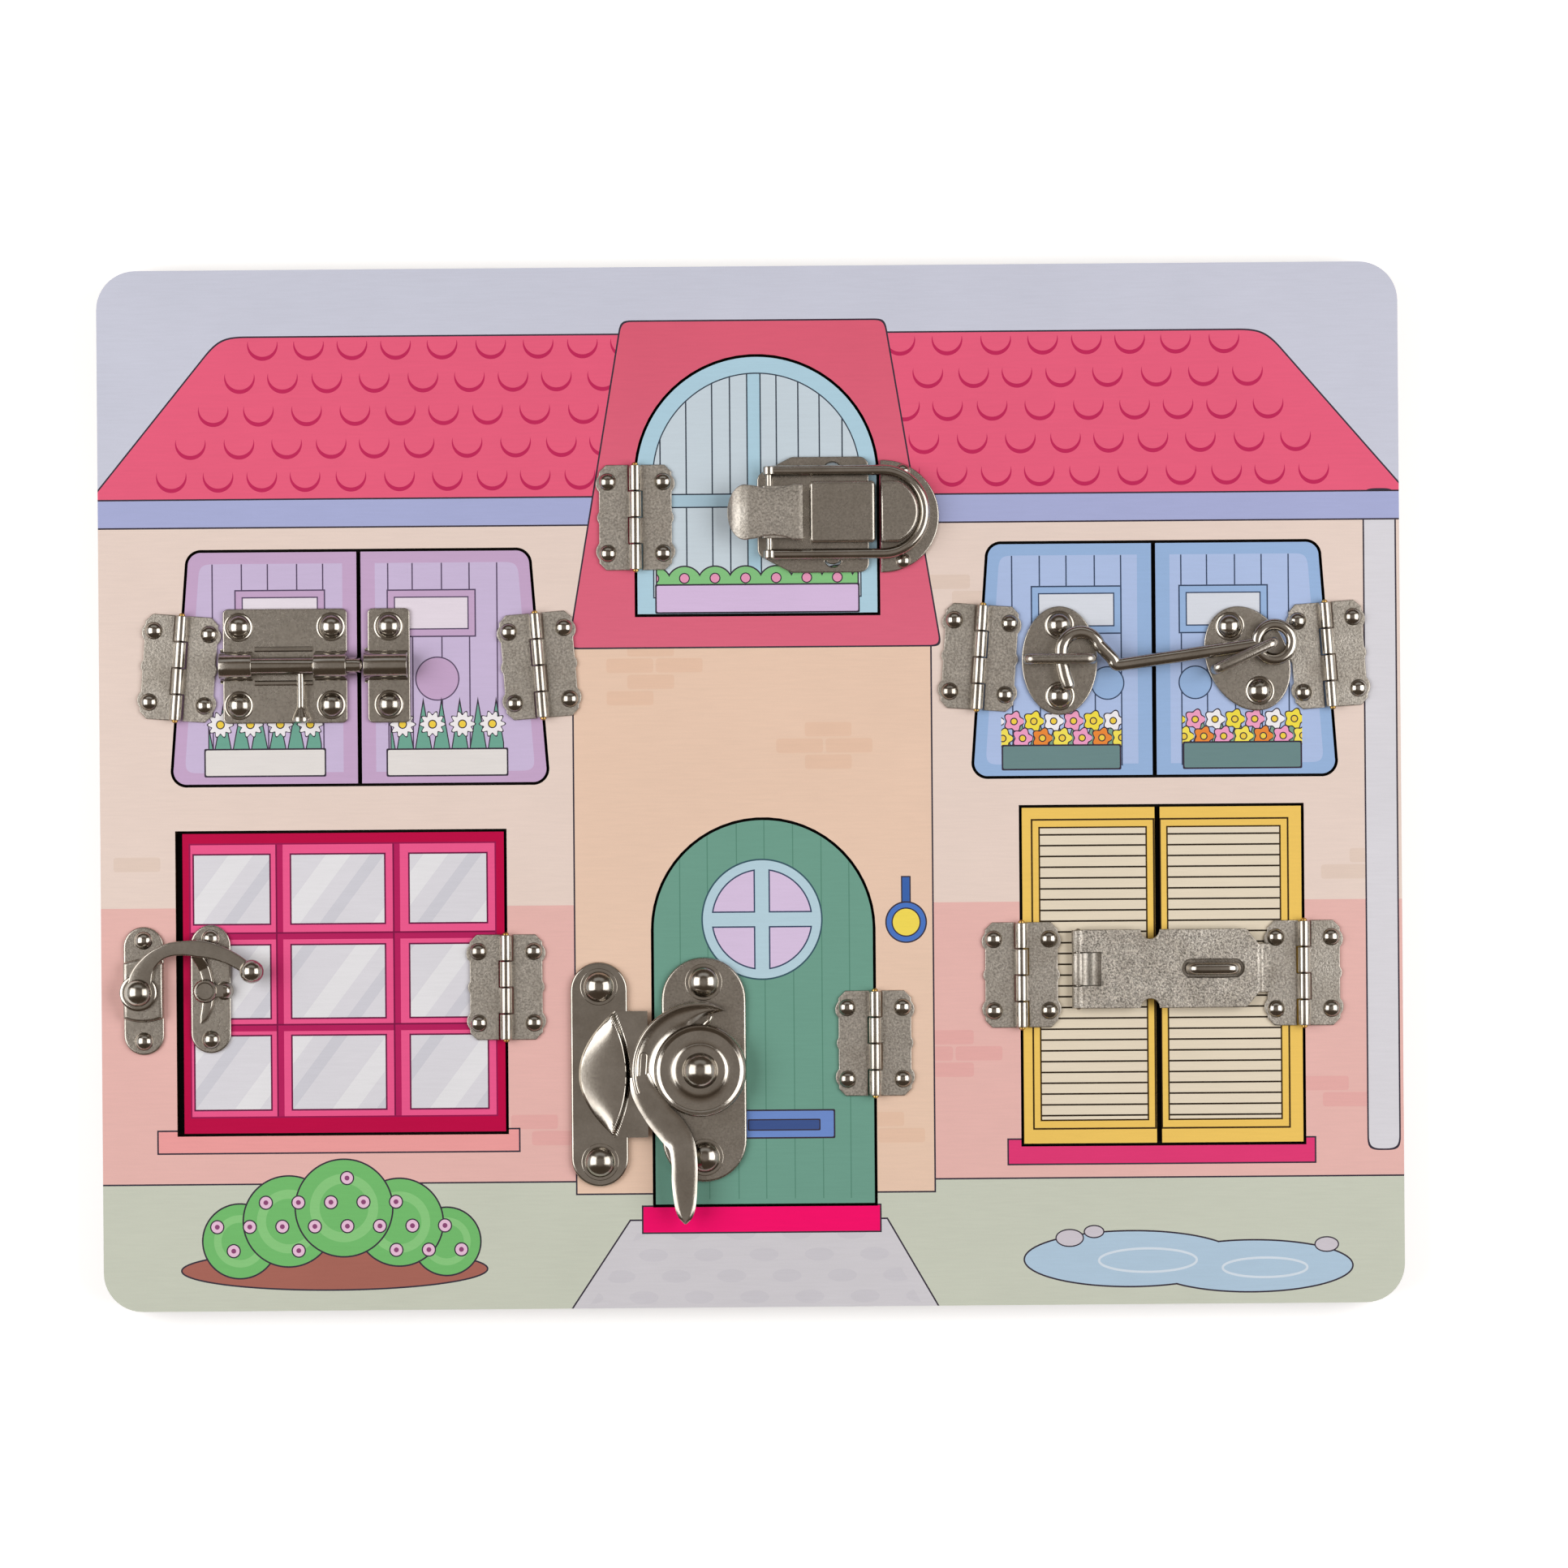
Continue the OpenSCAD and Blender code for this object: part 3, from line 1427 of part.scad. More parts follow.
// The strap from above, with its pin along the Y axis.
module strap_outline() {
    shoulder = 51.6;
    tongue_half = hasp_w / 2 - 4.6;
    notch_r = 2.9;
    difference() {
        polygon([[0, -hasp_w / 2], [shoulder, -hasp_w / 2], [shoulder + 4, -tongue_half],
            [hasp_len, -tongue_half], [hasp_len, tongue_half], [shoulder + 4, tongue_half],
            [shoulder, hasp_w / 2], [0, hasp_w / 2]]);
        for (up = [-1, 1])
            translate([22, up * hasp_w / 2])
                circle(notch_r);
        translate([-1, hasp_knuckle[1]])
            square([8, hasp_knuckle[2] - hasp_knuckle[1]]);
        translate([slot_at, 0])
            rotate(90)
                obround(slot_w, slot_len);
    }
}

module hasp_strap() {
    color(nickel)
        difference() {
            union() {
                translate([hasp_x, hasp_y, strap_z])
                    linear_extrude(hasp_t)
                        strap_outline();
                hasp_barrel(hasp_knuckle[0], hasp_knuckle[1]);
                hasp_barrel(hasp_knuckle[2], hasp_knuckle[3]);
            }
            hasp_bore_cut();
        }
}

module staple_plate() {
    w = 24;
    h = 17;
    color(nickel)
        difference() {
            translate([staple_x, hasp_y, face_z])
                linear_extrude(hasp_t)
                    rounded([[-w, -h] / 2, [w, -h] / 2, [w, h] / 2, [-w, h] / 2], 1.5);
            rivet_holes(staple_rivets);
            for (side = [-1, 1])
                translate([staple_x + side * (staple_w - staple_d) / 2, hasp_y, 0])
                    cylinder(d = staple_d + 2 * shank_fit, h = through);
        }
}

// The staple: two legs through the plate, and a rounded top.
module staple_loop() {
    leg_x = (staple_w - staple_d) / 2;
    round_r = 3;
    top = face_z + staple_h - staple_d / 2;
    color(nickel)
        translate([staple_x, hasp_y, 0])
            for (side = [-1, 1]) {
                rod([side * leg_x, 0, face_z], [side * leg_x, 0, top - round_r], staple_d);
                rod([side * leg_x, 0, top - round_r], [side * (leg_x - round_r), 0, top], staple_d);
                rod([side * (leg_x - round_r), 0, top], [0, 0, top], staple_d);
            }
}

backing_panel();
front_panel();
attic_door();
lilac_shutter(-1, LILAC_LEFT_RIVETS);  // lilac_shutter_left
lilac_shutter(1, LILAC_RIGHT_RIVETS);  // lilac_shutter_right
blue_shutter(-1, BLUE_LEFT_RIVETS);  // blue_shutter_left
blue_shutter(1, BLUE_RIGHT_RIVETS);  // blue_shutter_right
pink_window();
front_door();
yellow_shutter(-1, YELLOW_LEFT_RIVETS);  // yellow_shutter_left
yellow_shutter(1, YELLOW_RIGHT_RIVETS);  // yellow_shutter_right
hinge_leaves_frame();
hinge_pins();
door_leaf(attic_hinge);  // leaf_attic_door
door_leaf(lilac_left_hinge);  // leaf_lilac_left
door_leaf(lilac_right_hinge);  // leaf_lilac_right
door_leaf(blue_left_hinge);  // leaf_blue_left
door_leaf(blue_right_hinge);  // leaf_blue_right
door_leaf(window_hinge);  // leaf_pink_window
door_leaf(door_hinge);  // leaf_front_door
door_leaf(yellow_left_hinge);  // leaf_yellow_left
door_leaf(yellow_right_hinge);  // leaf_yellow_right
rivets(FRAME_RIVETS);  // frame_rivets
rivets(ATTIC_RIVETS);  // rivets_attic_door
rivets(LILAC_LEFT_RIVETS);  // rivets_lilac_left
rivets(LILAC_RIGHT_RIVETS);  // rivets_lilac_right
rivets(BLUE_LEFT_RIVETS);  // rivets_blue_left
rivets(BLUE_RIGHT_RIVETS);  // rivets_blue_right
rivets(WINDOW_RIVETS);  // rivets_pink_window
rivets(DOOR_RIVETS);  // rivets_front_door
rivets(YELLOW_LEFT_RIVETS);  // rivets_yellow_left
rivets(YELLOW_RIGHT_RIVETS);  // rivets_yellow_right
bolt_plate();
bolt_rod();
bolt_keeper();
toggle_base();
toggle_cover();
toggle_lever();
toggle_lever_pin();
toggle_bail();
toggle_bail_pin();
toggle_strike();
hook_plate_left();
hook_plate_right();
cabin_hook();
clasp_plate();
clasp_arm();
clasp_pivot();
clasp_catch();
sash_base();
sash_cam();
sash_pivot();
sash_keeper();
hasp_leaf();
hasp_pin();
hasp_strap();
staple_plate();
staple_loop();
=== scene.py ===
"""Dresses a play board shaped like a house front: printed plywood panels, and nickel hinges and latches.

Shapes are worked out in millimetres from the middle of the board's back, with X to the right, Y up the house
and Z out of its face. They go into their meshes in metres.
"""

import functools
import json
import math

import bmesh
import bpy
import numpy as np
from bpy.props import FloatProperty, FloatVectorProperty, PointerProperty
from mathutils import Euler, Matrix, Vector
from mathutils.geometry import tessellate_polygon


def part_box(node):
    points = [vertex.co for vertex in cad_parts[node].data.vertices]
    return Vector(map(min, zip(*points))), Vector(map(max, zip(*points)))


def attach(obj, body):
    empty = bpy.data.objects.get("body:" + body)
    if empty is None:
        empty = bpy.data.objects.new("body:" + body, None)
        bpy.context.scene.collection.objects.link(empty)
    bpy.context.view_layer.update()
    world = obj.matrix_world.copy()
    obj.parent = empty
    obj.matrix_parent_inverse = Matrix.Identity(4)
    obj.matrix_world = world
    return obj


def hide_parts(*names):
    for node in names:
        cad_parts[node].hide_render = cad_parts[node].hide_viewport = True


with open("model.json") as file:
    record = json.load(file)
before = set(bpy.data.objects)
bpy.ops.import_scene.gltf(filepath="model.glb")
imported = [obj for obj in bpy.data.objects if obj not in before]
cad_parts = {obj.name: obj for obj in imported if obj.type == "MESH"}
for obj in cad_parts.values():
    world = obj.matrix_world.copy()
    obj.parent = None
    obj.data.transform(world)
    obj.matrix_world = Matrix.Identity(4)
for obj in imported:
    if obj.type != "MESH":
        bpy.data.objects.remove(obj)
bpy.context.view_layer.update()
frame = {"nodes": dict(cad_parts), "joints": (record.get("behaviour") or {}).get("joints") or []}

bl_info = {
    "name": "Latches board",
    "version": (1, 0, 0),
    "blender": (4, 5, 0),
    "location": "3D View > Sidebar > Latches",
    "description": "Looks of a play board with nine hinged panels and six kinds of latch",
    "category": "Add Mesh",
}

MM = 0.001
TO_MM = 1000

# Heights: the board's face, the back of its front sheet and the back of a closed panel.
FACE = 12.0
SHEET_FOOT = TO_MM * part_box("front_panel")[0].z
PANEL_FOOT = TO_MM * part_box("attic_door")[0].z

# The half turns that lay an upright shape along another axis.
ALONG_X = {"x": (0, 1, 0), "y": (0, 0, 1), "z": (1, 0, 0)}
ALONG_Y = {"x": (1, 0, 0), "y": (0, 0, -1), "z": (0, 1, 0)}
ON_EDGE = {"x": (1, 0, 0), "y": (0, 0, 1), "z": (0, 1, 0)}
DOWN_Y = {"x": (1, 0, 0), "y": (0, 0, 1), "z": (0, -1, 0)}


def srgb(code):
    """A colour from its hex code, as the linear numbers that a socket takes."""
    part = np.array([int(code[i:i + 2], 16) for i in (0, 2, 4)]) / 255
    linear = np.where(part <= 0.04045, part / 12.92, ((part + 0.055) / 1.055) ** 2.4)
    return (*linear.tolist(), 1.0)


INK = "3A3340"


# ---------------------------------------------------------------- Shapes

def unit(vectors):
    """Each vector over its own length."""
    vectors = np.asarray(vectors, float)
    return vectors / np.maximum(np.linalg.norm(vectors, axis=-1, keepdims=True), 1e-12)


def arc(middle, radius, start, end, steps=16):
    """Points round a middle: the radius times cosine and sine of angles evenly spaced in degrees."""
    angle = np.radians(np.linspace(start, end, steps))
    return np.asarray(middle, float) + radius * np.column_stack([np.cos(angle), np.sin(angle)])


def rounded(corners, radius, steps=8):
    """A closed outline. Each corner gives way to an arc that touches both its sides. The arc's middle lies
    on the corner's bisector, at the radius over the sine of half the corner's angle."""
    point = np.asarray(corners, float)
    back = unit(np.roll(point, 1, axis=0) - point)
    on = unit(np.roll(point, -1, axis=0) - point)
    half = np.arccos(np.clip((back * on).sum(axis=1), -1, 1)) / 2
    radius = np.broadcast_to(np.asarray(radius, float), half.shape)
    middle = point + unit(back + on) * (radius / np.sin(half))[:, None]
    start = back * (radius / np.tan(half))[:, None] + point - middle
    end = on * (radius / np.tan(half))[:, None] + point - middle
    first = np.arctan2(start[:, 1], start[:, 0])
    turn = (np.arctan2(end[:, 1], end[:, 0]) - first + np.pi) % (2 * np.pi) - np.pi
    angle = first[:, None] + turn[:, None] * np.linspace(0, 1, steps)
    round_part = radius[:, None, None] * np.stack([np.cos(angle), np.sin(angle)], axis=2)
    return (middle[:, None] + round_part).reshape(-1, 2)


def rectangle(width, height, radius=0.6, middle=(0, 0)):
    """A rounded rectangle about a middle."""
    corners = np.array([[-1, -1], [1, -1], [1, 1], [-1, 1]]) * [width / 2, height / 2] + middle
    return rounded(corners, radius)


def oval(width, height, middle=(0, 0), turn=0, steps=72):
    """An ellipse: half its width times cosine and half its height times sine, turned about its middle."""
    angle = np.linspace(0, 2 * np.pi, steps, endpoint=False)
    point = np.column_stack([width / 2 * np.cos(angle), height / 2 * np.sin(angle)])
    c, s = math.cos(math.radians(turn)), math.sin(math.radians(turn))
    return point @ np.array([[c, s], [-s, c]]) + middle


def obround(width, height, middle=(0, 0), steps=24):
    """A strip with half-round ends, standing along Y."""
    reach = (height - width) / 2
    upper = arc((0, reach), width / 2, 0, 180, steps)
    lower = arc((0, -reach), width / 2, 180, 360, steps)
    return np.concatenate([upper, lower]) + middle


def inset(outline, amount):
    """An outline moved to its left: each point goes along the mean of its two sides' normals, further at a
    corner."""
    side = unit(np.roll(outline, -1, axis=0) - outline)
    normal = np.column_stack([-side[:, 1], side[:, 0]])
    mean = unit(normal + np.roll(normal, 1, axis=0))
    stretch = 1 / np.clip((mean * normal).sum(axis=1), 0.6, 1)
    return outline + mean * (amount * stretch)[:, None]


def signed_area(outline):
    """Half the sum of the cross products of neighbouring points."""
    after = np.roll(outline, -1, axis=0)
    return (outline[:, 0] * after[:, 1] - outline[:, 1] * after[:, 0]).sum() / 2


def tidy_outline(outline, hole=False):
    """An outline without doubled points, anticlockwise, or clockwise round a hole."""
    outline = np.asarray(outline, float)
    apart = np.linalg.norm(np.roll(outline, -1, axis=0) - outline, axis=1)
    outline = outline[apart > 1e-4]
    return outline[::-1] if (signed_area(outline) < 0) != hole else outline


def at_height(plan, height):
    """Points of a flat line, each lifted to a height."""
    return np.column_stack([plan, np.broadcast_to(height, len(plan))])


def ring_faces(rows, columns, start=0):
    """Four-sided faces between neighbouring rows of points, each row closed on itself."""
    row, column = np.meshgrid(np.arange(rows - 1), np.arange(columns), indexing="ij")
    here = row * columns + column
    beside = row * columns + (column + 1) % columns
    corners = np.stack([here, beside, beside + columns, here + columns], axis=2)
    return (start + corners.reshape(-1, 4)).tolist()


def plate(outline, low, high, edge=0.25, holes=(), steps=4):
    """A flat plate from one height to another. Its outlines rise over a quarter round at the foot and one
    at the top: at an angle t the outline lies the edge times 1 - sin t inside, and the edge times 1 - cos t
    from the flat, where caps close it."""
    t = np.radians(np.linspace(0, 90, steps))
    rise = np.concatenate([[0], edge * (1 - np.cos(t))])
    inside = np.concatenate([[edge * 1.3 + 0.02], edge * (1 - np.sin(t))])
    height = np.concatenate([low + rise, (high - rise)[::-1]])
    inside = np.concatenate([inside, inside[::-1]])
    outlines = [tidy_outline(outline)] + [tidy_outline(hole, hole=True) for hole in holes]
    points, faces, first_rings, last_rings = [], [], [], []
    count = 0
    for one in outlines:
        rings = np.stack([at_height(inset(one, amount), z) for amount, z in zip(inside, height)])
        faces += ring_faces(len(height), len(one), count)
        first_rings.append(count + np.arange(len(one)))
        last_rings.append(count + (len(height) - 1) * len(one) + np.arange(len(one)))
        points.append(rings.reshape(-1, 3))
        count += len(one) * len(height)
    points = np.concatenate(points)
    flat = [points[ring].tolist() for ring in last_rings]
    triangle = np.array(tessellate_polygon(flat))
    top = np.concatenate(last_rings)[triangle]
    a, b, c = points[top[:, 0]], points[top[:, 1]], points[top[:, 2]]
    wrong = np.cross(b - a, c - a)[:, 2] < 0
    triangle[wrong] = triangle[wrong][:, ::-1]
    faces += np.concatenate(last_rings)[triangle].tolist()
    faces += np.concatenate(first_rings)[triangle[:, ::-1]].tolist()
    return points, faces


def lofted(rings):
    """A closed body through rings of points, rows by columns by three, shut by a fan at each end."""
    shut = [np.broadcast_to(end.mean(axis=0), end.shape)[None] for end in (rings[0], rings[-1])]
    rings = np.concatenate([shut[0], rings, shut[1]])
    return rings.reshape(-1, 3), ring_faces(rings.shape[0], rings.shape[1])


def revolve(profile, steps=40, middle=(0, 0)):
    """A turned body: each point of the profile, a radius and a height, goes round an upright axis."""
    radius, height = np.asarray(profile, float).T
    angle = np.linspace(0, 2 * np.pi, steps, endpoint=False)
    ring = np.stack([np.outer(radius, np.cos(angle)), np.outer(radius, np.sin(angle))], axis=2) + middle
    return lofted(np.dstack([ring, np.broadcast_to(height[:, None], ring.shape[:2])]))


def dome_profile(radius, height, foot=0.0, steps=12):
    """The edge of a spherical cap, from its rim to its crown. The sphere's radius is the rim's radius and
    the height each squared, added, and over twice the height."""
    ball = (radius ** 2 + height ** 2) / (2 * height)
    angle = np.linspace(math.asin(min(radius / ball, 1)), 0, steps)
    return np.column_stack([ball * np.sin(angle), foot + height - ball * (1 - np.cos(angle))])


def carried(path, up, section):
    """A section carried along a path. The section's first number goes to the path's side, which is the
    tangent crossed with up, and its second along the normal to both."""
    path = np.asarray(path, float)
    tangent = unit(np.gradient(path, axis=0))
    side = unit(np.cross(tangent, up))
    normal = np.cross(side, tangent)
    rings = path[:, None] + section[..., :1] * side[:, None] + section[..., 1:] * normal[:, None]
    return lofted(rings)


# How far round its half ball a rod's last ring stands, in degrees. A fan closes what is left.
LAST_RING = 88


def tube(path, radius, up=(0, 0, 1), sides=20, steps=5, flat=(1, 1)):
    """A rod along a path. Its section is an ellipse, whose half axes are the radius times two shares. Each
    end is half a ball: the path runs on by the radius times sin t, while the rod thins to the radius times
    cos t."""
    path = np.asarray(path, float)
    t = np.radians(np.linspace(0, LAST_RING, steps))
    head = unit(path[0] - path[1]) * radius * np.sin(t)[::-1, None] + path[0]
    tail = unit(path[-1] - path[-2]) * radius * np.sin(t)[:, None] + path[-1]
    path = np.concatenate([head[:-1], path, tail[1:]])
    thin = radius * np.concatenate([np.cos(t)[:0:-1], np.ones(len(path) - 2 * (steps - 1)), np.cos(t)[1:]])
    angle = np.linspace(0, 2 * np.pi, sides, endpoint=False)
    circle = np.column_stack([np.cos(angle), np.sin(angle)]) * flat
    return carried(path, up, thin[:, None, None] * circle)


def strip(path, half_width, half_height, up=(0, 0, 1), edge=0.3, steps=4):
    """A bar along a path, its section a rectangle with round corners. Each corner's arc turns about a
    middle that lies the edge radius inside both sides."""
    count = len(path)
    half = np.column_stack([np.broadcast_to(half_width, count), np.broadcast_to(half_height, count)])[:, None]
    quarter = np.radians(np.linspace(0, 90, steps))
    angle = (quarter + np.radians([[0], [90], [180], [270]])).ravel()
    sign = np.repeat([[1, 1], [-1, 1], [-1, -1], [1, -1]], steps, axis=0)
    edge = np.minimum(edge, half.min(axis=2, keepdims=True))
    section = sign * (half - edge) + edge * np.column_stack([np.cos(angle), np.sin(angle)])
    return carried(path, up, section)


def shell(top, thickness):
    """A sheet under a grid of points, rows by columns by three: each row goes on back along the same points
    lowered by the thickness."""
    return lofted(np.concatenate([top, top[:, ::-1] - [0, 0, thickness]], axis=1))


def smooth_path(knots, steps=40):
    """A Catmull-Rom curve through knots: between two of them, the cubic whose slope at each is half the way
    from the knot before to the knot after."""
    knots = np.asarray(knots, float)
    ends = np.concatenate([[2 * knots[0] - knots[1]], knots, [2 * knots[-1] - knots[-2]]])
    place = np.linspace(0, len(knots) - 1, steps)
    first = np.minimum(place.astype(int), len(knots) - 2)
    t = (place - first)[:, None]
    a, b, c, d = (ends[first + i] for i in range(4))
    square, cube = 2 * a - 5 * b + 4 * c - d, 3 * b - a - 3 * c + d
    return 0.5 * (2 * b + (c - a) * t + square * t ** 2 + cube * t ** 3)


def placed(solid, origin=(0, 0, 0), x=(1, 0, 0), y=(0, 1, 0), z=(0, 0, 1)):
    """A shape carried to an origin, with its own axes along three given ones."""
    points, faces = solid
    return points @ np.array([x, y, z], float) + np.asarray(origin, float), faces


def turned(solid, origin, degrees):
    """A shape turned about Z and carried to an origin."""
    c, s = math.cos(math.radians(degrees)), math.sin(math.radians(degrees))
    return placed(solid, origin, x=(c, s, 0), y=(-s, c, 0))


def facing_out(solid):
    """The shape with its faces outwards: they are turned round where the volume comes out below 0."""
    points, faces = solid
    fans = np.array([(f[0], f[i], f[i + 1]) for f in faces for i in range(1, len(f) - 1)])
    a, b, c = points[fans[:, 0]], points[fans[:, 1]], points[fans[:, 2]]
    if (a * np.cross(b, c)).sum() < 0:
        faces = [face[::-1] for face in faces]
    return points, faces


# ---------------------------------------------------------------- Shaders

def maths(operation, *values):
    """A Math node over values, of which at least one is a Value."""
    shader = next(v.shader for v in values if isinstance(v, Value))
    return shader.node("Math", {"operation": operation}, dict(enumerate(values)))


class Value:
    """A number or vector that varies over a surface. Sums, products and comparisons add Math nodes."""

    def __init__(self, shader, socket):
        self.shader = shader
        self.socket = socket

    def __add__(self, other):
        return maths("ADD", self, other)

    __radd__ = __add__

    def __sub__(self, other):
        return maths("SUBTRACT", self, other)

    def __rsub__(self, other):
        return maths("SUBTRACT", other, self)

    def __mul__(self, other):
        return maths("MULTIPLY", self, other)

    __rmul__ = __mul__

    def __truediv__(self, other):
        return maths("DIVIDE", self, other)

    def __mod__(self, other):
        return maths("FLOORED_MODULO", self, other)

    def __lt__(self, other):
        return maths("LESS_THAN", self, other)

    def __gt__(self, other):
        return maths("GREATER_THAN", self, other)

    def __abs__(self):
        return maths("ABSOLUTE", self)


def highest(first, *others, smooth=0.0):
    """The largest of some values, which run into each other smoothly over a given distance."""
    for other in others:
        if smooth:
            first = maths("SMOOTH_MAX", first, other, smooth)
        else:
            first = maths("MAXIMUM", first, other)
    return first


def lowest(first, *others):
    """The smallest of some values."""
    for other in others:
        first = maths("MINIMUM", first, other)
    return first


def hypotenuse(across, up):
    """The root of two values squared and added."""
    return maths("SQRT", across * across + up * up)


def wrapped(value, pitch):
    """A value that repeats from minus to plus half a pitch."""
    return (value + pitch / 2) % pitch - pitch / 2


class Shader:
    """The nodes of one material or world. Its patterns read its place, in Object coordinates for a
    material."""

    def __init__(self, owner, coordinates="Object"):
        owner.use_nodes = True
        self.owner = owner
        self.tree = owner.node_tree
        self.tree.nodes.clear()
        self.place = self.node("TexCoord", {}, {}, coordinates)

    def node(self, kind, settings, inputs, output=0):
        """Adds a node: its settings first, then the values or links of its sockets. A colour may be a hex
        code. Gives one of the node's outputs."""
        node = self.tree.nodes.new("ShaderNode" + kind)
        for name, value in settings.items():
            if name == "stops":
                self.set_stops(node.color_ramp, value)
            else:
                setattr(node, name, value)
        for key, value in inputs.items():
            if isinstance(value, Value):
                self.tree.links.new(value.socket, node.inputs[key])
            else:
                node.inputs[key].default_value = srgb(value) if isinstance(value, str) else value
        return Value(self, node.outputs[output])

    @staticmethod
    def set_stops(ramp, stops):
        """A colour ramp's stops, from pairs of a place and a hex code."""
        while len(ramp.elements) < len(stops):
            ramp.elements.new(1.0)
        for element, (place, colour) in zip(ramp.elements, stops):
            element.position = place
            element.color = srgb(colour)

    def other(self, value, output):
        """Another output of the node that a value comes from."""
        return Value(self, value.socket.node.outputs[output])

    def height(self):
        """The place's height in millimetres."""
        return self.node("SeparateXYZ", {}, {0: self.place}, 2) * TO_MM

    def mix(self, share, first, second):
        """The first colour, or by its share the second."""
        return self.node("Mix", {"data_type": "RGBA"}, {0: share, 6: first, 7: second}, 2)

    def vector(self, operation, *values):
        """A vector worked out from others."""
        return self.node("VectorMath", {"operation": operation}, dict(enumerate(values)))

    def length(self, operation, *values):
        """A number worked out from vectors, such as a distance."""
        return self.other(self.vector(operation, *values), 1)

    def scaled(self, colour, share):
        """A colour times a number."""
        return self.node("VectorMath", {"operation": "SCALE"}, {0: colour, 3: share})

    def noise(self, scale, detail=2.0, stretch=(1, 1, 1), roughness=0.5):
        """Noise between 0 and 1, with so many waves to a metre along each axis."""
        inputs = {"Vector": self.vector("MULTIPLY", self.place, tuple(scale * share for share in stretch)),
                  "Scale": 1.0, "Detail": detail, "Roughness": roughness}
        return self.node("TexNoise", {}, inputs)

    def spread(self, value, low, high, to_low=0.0, to_high=1.0):
        """A value carried from one range to another and held inside it."""
        return self.node("MapRange", {}, {0: value, 1: low, 2: high, 3: to_low, 4: to_high})

    def bump(self, height, distance, strength, **under):
        """A normal from a height between 0 and 1, which stands for so many metres, over one from another
        bump."""
        return self.node("Bump", {}, {"Height": height, "Distance": distance, "Strength": strength, **under})

    def finish(self, **sockets):
        """Closes the material with a Principled shader. A socket's name has underscores for its blanks."""
        inputs = {name.replace("_", " "): value for name, value in sockets.items()}
        self.close(self.node("BsdfPrincipled", {}, inputs))
        return self.owner

    def close(self, surface, kind="Material"):
        """Leads a surface into the output of the material or world."""
        output = self.tree.nodes.new("ShaderNodeOutput" + kind)
        self.tree.links.new(surface.socket, output.inputs["Surface"])


class Picture:
    """Flat shapes printed one over another. A distance is in millimetres, and below 0 inside its shape."""

    def __init__(self, shader, ground):
        self.shader = shader
        self.colour = ground
        self.flat = shader.vector("MULTIPLY", shader.place, (TO_MM, TO_MM, 0))
        self.x = shader.node("SeparateXYZ", {}, {0: self.flat})
        self.y = shader.other(self.x, 1)

    def box(self, left, right, foot, top, smooth=0.0):
        """The larger of the distances beyond its two pairs of sides."""
        across = abs(self.x - (left + right) / 2) - (right - left) / 2
        up = abs(self.y - (foot + top) / 2) - (top - foot) / 2
        return highest(across, up, smooth=smooth)

    def disc(self, x, y, radius):
        """The distance from its middle less its radius."""
        return self.shader.length("DISTANCE", self.flat, (x, y, 0)) - radius

    def oval(self, x, y, half_width, half_height):
        """The length of the place over the half sizes, less 1, over the slope of that length."""
        away = self.shader.vector("SUBTRACT", self.flat, (x, y, 0))
        share = self.shader.vector("DIVIDE", away, (half_width, half_height, 1))
        slope = self.shader.vector("DIVIDE", share, (half_width, half_height, 1))
        length = self.shader.length("LENGTH", share)
        return (length - 1) * length / self.shader.length("LENGTH", slope)

    def side(self, start, end):
        """How far a place lies to the right of a line from one point to another."""
        along = unit(np.subtract(end, start))
        normal = (along[1], -along[0], 0.0)
        reach = normal[0] * start[0] + normal[1] * start[1]
        return self.shader.length("DOT_PRODUCT", self.flat, normal) - reach

    def polygon(self, *corners, smooth=0.0):
        """The largest distance beyond any side of a convex outline, given anticlockwise."""
        after = corners[1:] + corners[:1]
        return highest(*[self.side(a, b) for a, b in zip(corners, after)], smooth=smooth)

    def arch(self, x, foot, half_width, spring):
        """A rectangle under a half disc: the distance from the middle line, or above the spring from its
        end."""
        above = highest(self.y - spring, 0.0)
        return highest(hypotenuse(self.x - x, above) - half_width, foot - self.y)

    def upright_lines(self, places):
        """The distance from the nearest of some upright lines."""
        return lowest(*[abs(self.x - place) for place in places])

    def cells(self, pitch, rise, shift, foot=0.0):
        """Rows of cells from a foot upwards, every second row shifted. Gives how far a place lies from its
        cell's middle, across and up, and where that middle is."""
        row = maths("FLOOR", (self.y - foot) / rise)
        across = wrapped(self.x + (row % 2) * shift, pitch)
        up = wrapped(self.y - (foot + rise / 2), rise)
        return across, up, self.shader.node("CombineXYZ", {}, {0: self.x - across, 1: self.y - up})

    def beyond_discs(self, place, discs):
        """The smallest distance of a place beyond some discs, each given by its middle and radius."""
        return lowest(*[self.shader.length("DISTANCE", place, (x, y, 0)) - radius for x, y, radius in discs])

    def fill(self, distance, colour):
        """Colours the inside of a shape."""
        self.colour = self.shader.mix(distance < 0, self.colour, colour)

    def line(self, distance, width=0.5, colour=INK):
        """Draws a line where the distance is 0."""
        self.colour = self.shader.mix(abs(distance) < width / 2, self.colour, colour)

    def shape(self, distance, colour, width=0.5, ink=INK):
        """A filled shape with an inked outline."""
        self.fill(distance, colour)
        self.line(distance, width, ink)

    def blossoms(self, across, up, radius, petals, colour, heart):
        """A round flower about a moving middle. Its edge swells and shrinks with the cosine of its petals'
        angle."""
        swing = maths("COSINE", maths("ARCTAN2", up, across) * petals)
        length = hypotenuse(across, up)
        edge = length - (swing * 0.14 + 0.86) * radius
        self.shape(edge, colour, 0.4)
        self.shape(length - radius * 0.3, heart, 0.35)


